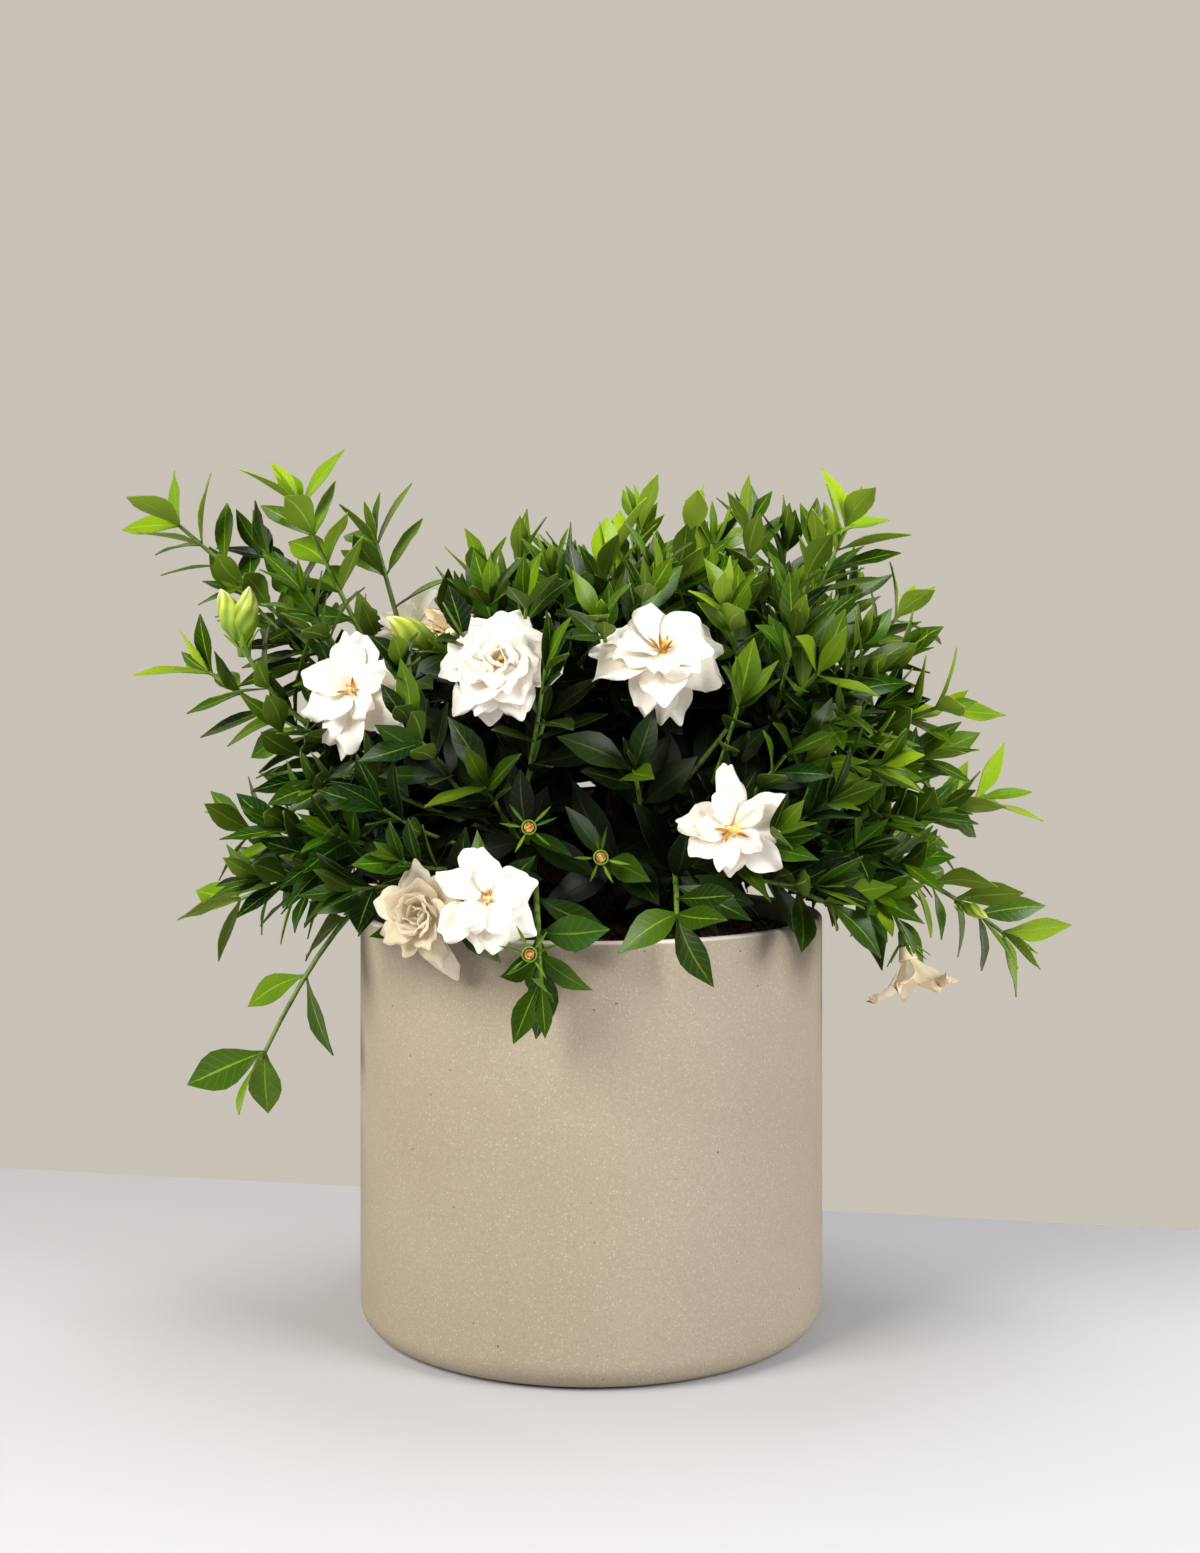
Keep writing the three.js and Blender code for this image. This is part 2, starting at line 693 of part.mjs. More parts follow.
function shrub() {
  const group = new THREE.Group();
  const wood = [solid(turned(trunkProfile, 8))];
  const shoots = [];
  for (const limb of limbs) {
    const fork = new THREE.Vector3(...limb.fork);
    const crown = new THREE.Vector3(fork.x, fork.y, 0).setLength(crownSpread).setZ(trunkTop - 6);
    const bend = crown.clone().lerp(fork, 0.5);
    bend.z += limbArch;
    const limbCurve = new THREE.QuadraticBezierCurve3(crown, bend, fork);
    wood.push(stem(limbCurve, 0, 1, limbRadius, 4));
    take([0.4, 0.55, 0.7, 0.85, 1].map((t) => limbCurve.getPoint(t)), ballRadius.limb, "wood");
    limb.shoots.forEach((shoot, i) => {
      const start = limbCurve.getPoint(1 - i * twigSpacing).toArray();
      shoot.curve = shootCurve(start, shoot);
      const length = shoot.curve.getLength();
      shoot.greenFrom = Math.max(leastWoody, 1 - shoot.green / length);
      shoot.seat = seatGap / length;
      shoot.branches = (shoot.branches ?? []).map((branch) => {
        const side = shootCurve(shoot.curve.getPoint(branch.from).toArray(), branch);
        return { ...branch, curve: side, greenFrom: 0 };
      });
      wood.push(stem(shoot.curve, 0, shoot.greenFrom, twigRadius, 3));
      shoots.push(shoot);
    });
  }
  group.add(fused("woody_stems", wood, bark));

  // Stems, flowers and buds take their places first, and the leaves grow in what is left.
  shoots.forEach((shoot, number) => {
    for (const { curve } of [shoot, ...shoot.branches]) {
      const spots = Array.from({ length: 24 }, (_, i) => curve.getPoint((i + 1) / 25));
      take(spots, ballRadius.stem, number);
    }
    if (!shoot.facing) return;
    const flower = flowerFrame(shoot);
    if (shoot.bloom) {
      const petals = growPetals(shoot, number);
      petals.forEach((petal) => take(petalBalls(petal), ballRadius.petal, "flower"));
      take([flower.centre], ballRadius.bloom, "flower");
      const color = shoot.bloom === "withered" ? fadedPetal : whitePetal;
      const throat = solid(onFlower(turned(throatProfile, 6), flower));
      group.add(fused(shoot.name + "_petals", [throat, ...petals.map(petalSolid)], color));
      if (shoot.bloom === "open") group.add(fused(shoot.name + "_heart", [heartSolid(flower)], anthers));
    }
    if (shoot.buds) {
      const { centre, front } = flower;
      const heights = [0.3, 0.5, 0.7, 0.9].map((share) => share * budLength);
      const spots = heights.map((height) => centre.clone().addScaledVector(front, height));
      take(spots, ballRadius.bud, "flower");
    }
    if (shoot.calyx) take([flower.centre], ballRadius.calyx, "flower");
  });

  shoots.forEach((shoot, number) => {
    const green = [stem(shoot.curve, shoot.greenFrom + shoot.seat, 1, shootRadius, 4)];
    green.push(...growLeaves(shoot, number, number).map(leafSolid));
    shoot.branches.forEach((branch, i) => {
      green.push(stem(branch.curve, 0, 1, shootRadius, 4));
      green.push(...growLeaves(branch, number, number + 100 * (i + 1)).map(leafSolid));
    });
    if (shoot.buds) green.push(...budSolids(shoot));
    if (shoot.calyx) green.push(...calyxSolids(flowerFrame(shoot)));
    group.add(fused("shoot_" + shoot.name, green, foliage));
  });
  return group;
}

const pottedGardenia = new THREE.Group();
pottedGardenia.add(pot(), soil(), shrub());

export default pottedGardenia;
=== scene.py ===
# %% [markdown]
# # A potted gardenia
#
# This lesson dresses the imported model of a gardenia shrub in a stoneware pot. The model comes in as
# a fixed frame: one body, with a plain solid for the pot, the soil, the woody stems, each leafy
# shoot and each bloom. Every one of them gets a finer piece in the same place.
#
# Blender works in metres. A plant is easier to think of in millimetres, so the growing rule below
# uses those, and each mesh is scaled by `mm` as it is made.

# %% Load the frame
import math

import bmesh
import bpy
import numpy as np
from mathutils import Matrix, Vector, noise


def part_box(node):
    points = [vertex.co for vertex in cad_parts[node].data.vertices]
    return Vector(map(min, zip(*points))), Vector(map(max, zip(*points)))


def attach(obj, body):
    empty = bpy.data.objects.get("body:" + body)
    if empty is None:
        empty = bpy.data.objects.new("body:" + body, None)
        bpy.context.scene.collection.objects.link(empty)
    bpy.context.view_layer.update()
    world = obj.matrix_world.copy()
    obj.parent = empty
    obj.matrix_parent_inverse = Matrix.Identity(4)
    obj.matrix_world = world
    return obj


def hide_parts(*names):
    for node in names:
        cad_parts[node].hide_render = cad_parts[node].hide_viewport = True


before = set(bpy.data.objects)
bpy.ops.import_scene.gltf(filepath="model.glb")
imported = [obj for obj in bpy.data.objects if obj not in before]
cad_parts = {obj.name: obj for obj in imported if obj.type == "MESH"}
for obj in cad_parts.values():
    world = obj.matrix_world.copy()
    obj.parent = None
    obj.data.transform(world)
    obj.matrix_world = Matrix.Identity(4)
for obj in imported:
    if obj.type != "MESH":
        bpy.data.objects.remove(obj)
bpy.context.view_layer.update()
mm = 0.001
degree = math.pi / 180
full_turn = 2 * math.pi
up = np.array([0.0, 0.0, 1.0])

pot_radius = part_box("pot")[1].x / mm
pot_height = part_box("pot")[1].z / mm
print("pot", round(2 * pot_radius), "mm across and", round(pot_height), "mm high")

# %% [markdown]
# ## The camera
#
# The photograph was taken from the front, level with the leaves, 1.35 m from the middle of the pot.
# A level camera keeps the pot's sides upright. The picture is framed a little lower than the
# camera's height, which is a small shift of the lens and not a tilt.

# %% The camera
camera_place = (5.6 * mm, -1350 * mm, 428 * mm)
frame_height = 36  # mm of sensor that the picture's height takes
focal_length = 47.87  # mm, which makes the picture 41 degrees high
lens_shift = -0.075  # share of the picture's height
bpy.ops.object.camera_add(location=camera_place, rotation=(90 * degree, 0, 0))
camera = bpy.context.object
camera.name = "camera"
camera.data.sensor_fit = "VERTICAL"
camera.data.sensor_width = frame_height
camera.data.sensor_height = frame_height
camera.data.lens = focal_length
camera.data.shift_y = lens_shift
bpy.context.scene.camera = camera
print("camera", round(-camera_place[1] / mm), "mm in front of the pot's middle")

# %% [markdown]
# ## One helper for nodes
#
# Every finish below starts from a Principled shader. `add_node` adds a node of any kind to a
# material, or to the room: `links` gives each input a plain value or another node's output, and the
# settings follow as keywords. It returns the node's outputs, and a colour ramp's stops are
# (position, hex colour) pairs. Most finishes are mottled: a noise in the object's own space, whose
# ramp gives their colours.

# %% The helper


def srgb(code, alpha=1.0):
    """A hex colour as Blender's linear one."""
    shares = [int(code[i : i + 2], 16) / 255 for i in (0, 2, 4)]
    return (*[s / 12.92 if s <= 0.04045 else ((s + 0.055) / 1.055) ** 2.4 for s in shares], alpha)


def new_material(name, **values):
    """A Principled material with its plain socket values set, such as roughness=0.5."""
    made = bpy.data.materials.new(name)
    made.use_nodes = True
    sockets = made.node_tree.nodes["Principled BSDF"].inputs
    for key, value in values.items():
        sockets[key.replace("_", " ").title().replace("Ior", "IOR")].default_value = value
    return made


def add_node(owner, kind, links=None, stops=(), **settings):
    """Adds a node with its settings and links, and returns its outputs."""
    tree = owner.node_tree
    made = tree.nodes.new("ShaderNode" + kind)
    for key, value in settings.items():
        setattr(made, key, value)
    for _ in stops[2:]:
        made.color_ramp.elements.new(0.5)
    for i, (position, colour) in enumerate(stops):
        made.color_ramp.elements[i].position = position
        made.color_ramp.elements[i].color = srgb(colour)
    for key, value in (links or {}).items():
        if isinstance(value, bpy.types.NodeSocket):
            tree.links.new(value, made.inputs[key])
        else:
            made.inputs[key].default_value = value
    return made.outputs


def mottle(material, scale, detail, stops, stretch=None):
    """A noise in the object's own space, and its colours. `scale` is one over its size in metres."""
    place = add_node(material, "TexCoord")["Object"]
    if stretch:
        place = add_node(material, "Mapping", {"Vector": place, "Scale": stretch})[0]
    patches = add_node(material, "TexNoise", {"Vector": place, "Scale": scale, "Detail": detail})[0]
    return patches, add_node(material, "ValToRGB", {0: patches}, stops=stops)[0]


def finish_with(material, **outputs):
    """Links outputs to the Principled shader, such as base_color=ramp[0]."""
    tree = material.node_tree
    shader = tree.nodes["Principled BSDF"]
    for key, value in outputs.items():
        tree.links.new(value, shader.inputs[key.replace("_", " ").title()])
    print(material.name, len(tree.nodes), "nodes")


# %% [markdown]
# ## The light
#
# Soft light comes from large lamps: a warm one high on the left, a weaker one on the right, and one
# above that brings out the gloss of the upper leaves. The room is a warm grey wall, darker towards
# the ceiling and behind the camera, so that the inside of the shrub stays in shade.

# %% The lamps
shrub_middle = Vector((0, 0, 0.3))


def add_lamp(name, place, size, power, colour):
    """A square lamp, `size` metres wide, that looks at the middle of the shrub."""
    turn = (shrub_middle - Vector(place)).to_track_quat("-Z", "Y").to_euler()
    bpy.ops.object.light_add(type="AREA", location=place, rotation=turn)
    lamp = bpy.context.object
    lamp.name = name
    lamp.data.size = size
    lamp.data.energy = power
    lamp.data.color = srgb(colour)[:3]
    print(name, power, "W")


add_lamp("key_lamp", (-1.6, -1.35, 1.6), 1.3, 82, "fffaf2")
add_lamp("side_lamp", (1.6, -1.2, 1.1), 1.0, 46, "ffffff")
add_lamp("top_lamp", (0.1, 0.3, 2.1), 0.9, 20, "ffffff")

# %% The room
# Its colours follow the way that a ray runs: `height` is 1 straight up, and `depth` is 1 straight
# away from the camera.
room_strength = 0.975
room = bpy.data.worlds.new("room")
bpy.context.scene.world = room
room.use_nodes = True
direction = add_node(room, "TexCoord")["Generated"]
_, depth, height = add_node(room, "SeparateXYZ", {0: direction})
wall = add_node(room, "ValToRGB", {0: height}, stops=[(0.32, "cbc4b8"), (0.6, "5d5a56")])[0]
behind = add_node(room, "MapRange", {0: depth, 1: 0.3, 2: -0.3})[0]
wall = add_node(room, "Mix", {0: behind, 6: wall, 7: srgb("55524d")}, data_type="RGBA")[2]
background = room.node_tree.nodes["Background"]
background.inputs["Strength"].default_value = room_strength
room.node_tree.links.new(wall, background.inputs["Color"])
bpy.context.scene.view_settings.view_transform = "Standard"
print("room", len(room.node_tree.nodes), "nodes")

# %% [markdown]
# ## Helpers for modelling
#
# An operator acts on all that is selected, and the frame leaves its own solids selected. So
# everything is deselected before a primitive is added, and its faces, edges or points are then
# chosen in code, by their place or normal. Modifiers are applied at once, so that a mesh holds its
# final shape. Long lists of points are read and written as arrays, which is fast.

# %% Select, edit and join


def deselect():
    """Leaves nothing selected, so that the next operator acts on the new piece alone."""
    bpy.ops.object.select_all(action="DESELECT")


def only(piece):
    """Selects one piece and makes it active."""
    deselect()
    piece.select_set(True)
    bpy.context.view_layer.objects.active = piece
    return piece


def edit(piece, test=None, kind="FACE"):
    """Enters edit mode with all selected, or the faces, edges or points whose middle passes a test."""
    only(piece)
    bpy.ops.object.mode_set(mode="EDIT")
    bpy.ops.mesh.select_mode(type=kind)
    bpy.ops.mesh.select_all(action="DESELECT" if test else "SELECT")
    if test:
        shape = bmesh.from_edit_mesh(piece.data)
        items = {"FACE": shape.faces, "EDGE": shape.edges, "VERT": shape.verts}[kind]
        for item in items:
            points = [item.co] if kind == "VERT" else [v.co for v in item.verts]
            if test(sum(points, Vector()) / len(points), item):
                item.select_set(True)
        shape.select_flush_mode()
        bmesh.update_edit_mesh(piece.data)


def leave_edit():
    """Back to object mode, which writes the edit to the mesh."""
    bpy.ops.object.mode_set(mode="OBJECT")


def add_modifier(piece, kind, **settings):
    """Adds a modifier and applies it."""
    only(piece)
    modifier = piece.modifiers.new(kind.lower(), kind)
    for key, value in settings.items():
        setattr(modifier, key, value)
    bpy.ops.object.modifier_apply(modifier=modifier.name)


def join(name, pieces):
    """Joins pieces into the first of them, and names it."""
    deselect()
    for piece in pieces:
        piece.select_set(True)
    bpy.context.view_layer.objects.active = pieces[0]
    if len(pieces) > 1:
        bpy.ops.object.join()
    pieces[0].name = name
    pieces[0].data.name = name
    return pieces[0]


def points_of(mesh):
    """A mesh's points as an array, one row each, in metres."""
    flat = np.empty(len(mesh.vertices) * 3, np.float32)
    mesh.vertices.foreach_get("co", flat)
    return flat.reshape(-1, 3).astype(float)


def set_points(mesh, points):
    """Moves a mesh's points to these places, in metres."""
    mesh.vertices.foreach_set("co", np.ascontiguousarray(points, np.float32).ravel())
    mesh.update()


# %% [markdown]
# ## The floor
#
# One plain pale sheet with matt paint, which takes a soft shadow and mirrors nothing. It is moved,
# turned and sized in edit mode, so that the object itself stays at the origin. Its far edge meets
# the wall 0.3 m behind the pot, turned a little to the right.

# %% The floor
floor_size, floor_turn, floor_middle = (8, 3, 1), 11.3 * degree, (-0.294, -1.18, 0)

deselect()
bpy.ops.mesh.primitive_plane_add(size=1)
floor = bpy.context.object
floor.name = "floor"
edit(floor)
bpy.ops.transform.resize(value=floor_size)
bpy.ops.transform.rotate(value=floor_turn, orient_axis="Z", center_override=(0, 0, 0))
bpy.ops.transform.translate(value=floor_middle)
leave_edit()
floor_paint = new_material("matt_painted_floor", base_color=srgb("bebec2"), roughness=0.6)
floor.data.materials.append(floor_paint)
print("floor", floor_size[0], "m wide and", floor_size[1], "m deep")

# %% [markdown]
# ## The pot
#
# The pot is thrown or cast stoneware: clay with fine dark and light grit, left unglazed, fired hard
# and then smoothed. Its wall is 8 mm thick, its foot is rounded over 18 mm, and its rim is soft.
# A lathe profile would do, but so does a cylinder whose top is inset and pushed down, and whose
# edges are then bevelled, which shows how a wall and its rounded edges come from a plain form.

# %% Model the pot
pot_wall, pot_floor = 8, 12
foot_round, lip_round = 18, 3
pot_sides = 128

deselect()
bpy.ops.mesh.primitive_cylinder_add(vertices=pot_sides, radius=pot_radius * mm, depth=pot_height * mm)
pot = bpy.context.object
pot.name = "stoneware_pot"
edit(pot)
bpy.ops.transform.translate(value=(0, 0, pot_height * mm / 2))
leave_edit()

edit(pot, lambda middle, face: face.normal.z > 0.9)
bpy.ops.mesh.inset(thickness=pot_wall * mm)
bpy.ops.mesh.extrude_region_move(
    TRANSFORM_OT_translate={"value": (0, 0, (pot_floor - pot_height) * mm)}
)
leave_edit()

close = 0.5 * mm  # near enough to count as on the foot's or the rim's plane
edit(pot, lambda middle, edge: max(v.co.z for v in edge.verts) < close, "EDGE")
bpy.ops.mesh.bevel(offset=foot_round * mm, segments=10)
leave_edit()


def on_rim(middle, edge):
    """Whether an edge runs round the rim, and not across it."""
    a, b = [v.co for v in edge.verts]
    across = abs(Vector((a.x, a.y)).length - Vector((b.x, b.y)).length)
    return middle.z > pot_height * mm - close and across < 2 * close


edit(pot, on_rim, "EDGE")
bpy.ops.mesh.bevel(offset=lip_round * mm, segments=5)
leave_edit()
only(pot)
bpy.ops.object.shade_smooth_by_angle(angle=35 * degree)
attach(pot, "root")
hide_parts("pot")
print("pot", len(pot.data.polygons), "faces")

# %% [markdown]
# ### Unglazed speckled stoneware
#
# Warm beige clay with a sandy grain of a millimetre and finer. Faint light and dark specks of 1 mm
# lie close together. Small dark pits, where iron in the clay burned out, are centimetres apart. The
# top of the lip is painted paler: a painted highlight where light falls on it. A picture of clay
# would repeat or stretch, and noise does neither.
# Specks are cells of a Voronoi pattern: its distance gives a dot in each cell, and its random
# colour chooses which few cells have one. All of it reads Object coordinates, so the scale of each
# pattern is one over its size in metres.

# %% Stoneware
stoneware = new_material("unglazed_speckled_stoneware", roughness=0.72, ior=1.5)
place = add_node(stoneware, "TexCoord")["Object"]


def specks(size, radius, share, strength):
    """A mask of dots: `size` mm is the cell, `radius` a share of it, `share` how many have one."""
    cells = add_node(stoneware, "TexVoronoi", {"Vector": place, "Scale": 1 / (size * mm)}, feature="F1")
    draw = add_node(stoneware, "SeparateColor", {0: cells["Color"]})[0]
    chosen = add_node(stoneware, "Math", {0: draw, 1: share}, operation="LESS_THAN")[0]
    dot_links = {0: cells["Distance"], 1: radius, 2: radius * 0.6, 3: 0.0, 4: strength}
    dot = add_node(stoneware, "MapRange", dot_links)[0]
    return add_node(stoneware, "Math", {0: dot, 1: chosen}, operation="MULTIPLY")[0]


_, clay = mottle(stoneware, 9, 3, [(0.3, "a0937f"), (0.7, "a79b87")])
grain, sand = mottle(stoneware, 900, 3, [(0.32, "939393"), (0.68, "bebebe")])
sandy = {"data_type": "RGBA", "blend_type": "OVERLAY"}
clay = add_node(stoneware, "Mix", {0: 0.45, 6: clay, 7: sand}, **sandy)[2]
pale_specks, dark_specks = specks(1.9, 0.32, 0.35, 0.3), specks(2.3, 0.25, 0.3, 0.3)
pits = specks(14, 0.06, 0.6, 0.9)
for dots, colour in ((pale_specks, "d8cfc0"), (dark_specks, "84745f"), (pits, "5d4c3c")):
    clay = add_node(stoneware, "Mix", {0: dots, 6: clay, 7: srgb(colour)}, data_type="RGBA")[2]
# The pale band on the top 2 mm of the lip is a painted highlight, where light falls on the rim.
height = add_node(stoneware, "SeparateXYZ", {0: place})[2]
painted_lip_highlight_links = {0: height, 1: (pot_height - 2) * mm, 2: (pot_height - 1) * mm, 3: 0.0, 4: 0.8}
painted_lip_highlight = add_node(stoneware, "MapRange", painted_lip_highlight_links)[0]
clay = add_node(stoneware, "Mix", {0: painted_lip_highlight, 6: clay, 7: srgb("ddd6cd")}, data_type="RGBA")[2]
pit_depth = -2.0  # how far a pit sinks, next to the grain's height of 1
relief = add_node(stoneware, "Math", {0: pits, 1: pit_depth, 2: grain}, operation="MULTIPLY_ADD")[0]
bump = add_node(stoneware, "Bump", {"Height": relief, "Strength": 0.25, "Distance": 0.4 * mm})[0]
finish_with(stoneware, base_color=clay, normal=bump)
pot.data.materials.append(stoneware)

# %% [markdown]
# ## The soil
#
# Potting mix is bark and peat in crumbs of 2 to 6 mm, a few of them drawn out to a centimetre. One
# crumbly sheet, closed underneath, shows between the leaves at the front right. It starts as a
# square grid that is bent into a disc, which keeps its faces even, is raised by noise, and is
# extruded down. Loose crumbs lie on it.

# %% Model the soil
soil_top, soil_crown = pot_height - 13, 5
soil_radius = pot_radius - pot_wall - 0.6
soil_depth = 16
soil_cuts = 90  # across the grid, which makes its faces 3 mm wide

deselect()
bpy.ops.mesh.primitive_grid_add(x_subdivisions=soil_cuts, y_subdivisions=soil_cuts, size=2)
soil = bpy.context.object
soil.name = "soil_surface"
square = points_of(soil.data)
disc = square.copy()
disc[:, 0] = square[:, 0] * np.sqrt(1 - square[:, 1] ** 2 / 2) * soil_radius
disc[:, 1] = square[:, 1] * np.sqrt(1 - square[:, 0] ** 2 / 2) * soil_radius


def soil_height(x, y):
    """The soil's top, in mm: higher at the trunk, sunk at the wall, in lumps of 14 and 4.5 mm."""
    out = math.hypot(x, y) / soil_radius
    lumps = noise.noise(Vector((x, y, 0)) / 14) * 1.6 + noise.noise(Vector((x, y, 9)) / 4.5) * 1.3
    return soil_top + soil_crown * (1 - out**2) - 2 * out**8 + lumps


disc[:, 2] = [soil_height(x, y) for x, y in disc[:, :2]]
set_points(soil.data, disc * mm)
edit(soil)
bpy.ops.mesh.extrude_region_move(TRANSFORM_OT_translate={"value": (0, 0, -soil_depth * mm)})
leave_edit()
edit(soil)
bpy.ops.mesh.normals_make_consistent(inside=False)
leave_edit()

# %% Crumbs
# Each is a low ball with its points pushed about, drawn out and turned. Most are small.
rng = np.random.default_rng(7)
crumb_count = 1100

deselect()
bpy.ops.mesh.primitive_ico_sphere_add(subdivisions=1, radius=1)
crumb_form = bpy.context.object
crumb_points = points_of(crumb_form.data)
crumbs = []
for _ in range(crumb_count):
    out = soil_radius * 0.98 * math.sqrt(rng.random())
    turn = rng.random() * full_turn
    x, y = out * math.cos(turn), out * math.sin(turn)
    size = 0.9 + 2.2 * rng.random() ** 2
    stretch = np.array([1 + rng.random() * 1.4, 1, 0.6]) * size
    lump = crumb_points * stretch * (0.8 + 0.4 * rng.random((len(crumb_points), 1)))
    turn = rng.random() * full_turn
    spin = np.array([[math.cos(turn), -math.sin(turn), 0], [math.sin(turn), math.cos(turn), 0], [0, 0, 1]])
    lump = lump @ spin.T + [x, y, soil_height(x, y) + 0.25 * size]
    copy = bpy.data.objects.new("crumb", crumb_form.data.copy())
    bpy.context.scene.collection.objects.link(copy)
    set_points(copy.data, lump * mm)
    crumbs.append(copy)
bpy.data.objects.remove(crumb_form)
soil = join("soil_surface", [soil, *crumbs])
only(soil)
bpy.ops.object.shade_smooth_by_angle(angle=40 * degree)
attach(soil, "root")
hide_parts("soil")
print("soil", len(soil.data.polygons), "faces")

# %% [markdown]
# ### Damp potting mix
#
# Bark and peat are nearly black when they are damp, with browner fibres, and have no shine. One fine
# noise gives the colour and the relief alike, so that the pale fibres are the ones that stand up.

# %% Potting mix
potting_mix = new_material("damp_potting_mix", roughness=0.9, specular_ior_level=0.25)
fine, mix_colour = mottle(potting_mix, 420, 5, [(0.3, "2b1a14"), (0.5, "583b2c"), (0.75, "9a7a62")])
bump = add_node(potting_mix, "Bump", {"Height": fine, "Strength": 0.8, "Distance": 1.2 * mm})[0]
finish_with(potting_mix, base_color=mix_colour, normal=bump)
soil.data.materials.clear()
soil.data.materials.append(potting_mix)

# %% [markdown]
# ## The plan of the shrub
#
# The shrub in the frame grew by a rule from a short plan: limbs that end in forks, and shoots that
# run from there to their tips. The same plan and rule give the same stems, leaves and petals here,
# so each fine piece lies where its plain solid does. `lift` raises or lowers the middle of a shoot,
# `green` is the length of its leafy end, `whorls` counts the leaves at each node from the oldest to
# the tip, and `facing` is the way that a flower, bud or calyx looks. `young` is new here: it says
# how yellow-green the leaves of a shoot still are.

# %% The limbs and shoots


def shoot(name, tip, green, whorls, lift=0.0, young=0.25, **more):
    """One row of the plan. `more` holds bloom, buds, calyx, size, facing and branches."""
    row = {"name": name, "tip": tip, "green": green, "whorls": whorls, "lift": lift, "young": young}
    return {**row, **more}


def branch(start, tip, whorls, lift=-4.0):
    """A side branch that leaves its shoot at `start`, a share of the shoot's curve."""
    return {"from": start, "tip": tip, "whorls": whorls, "lift": lift}


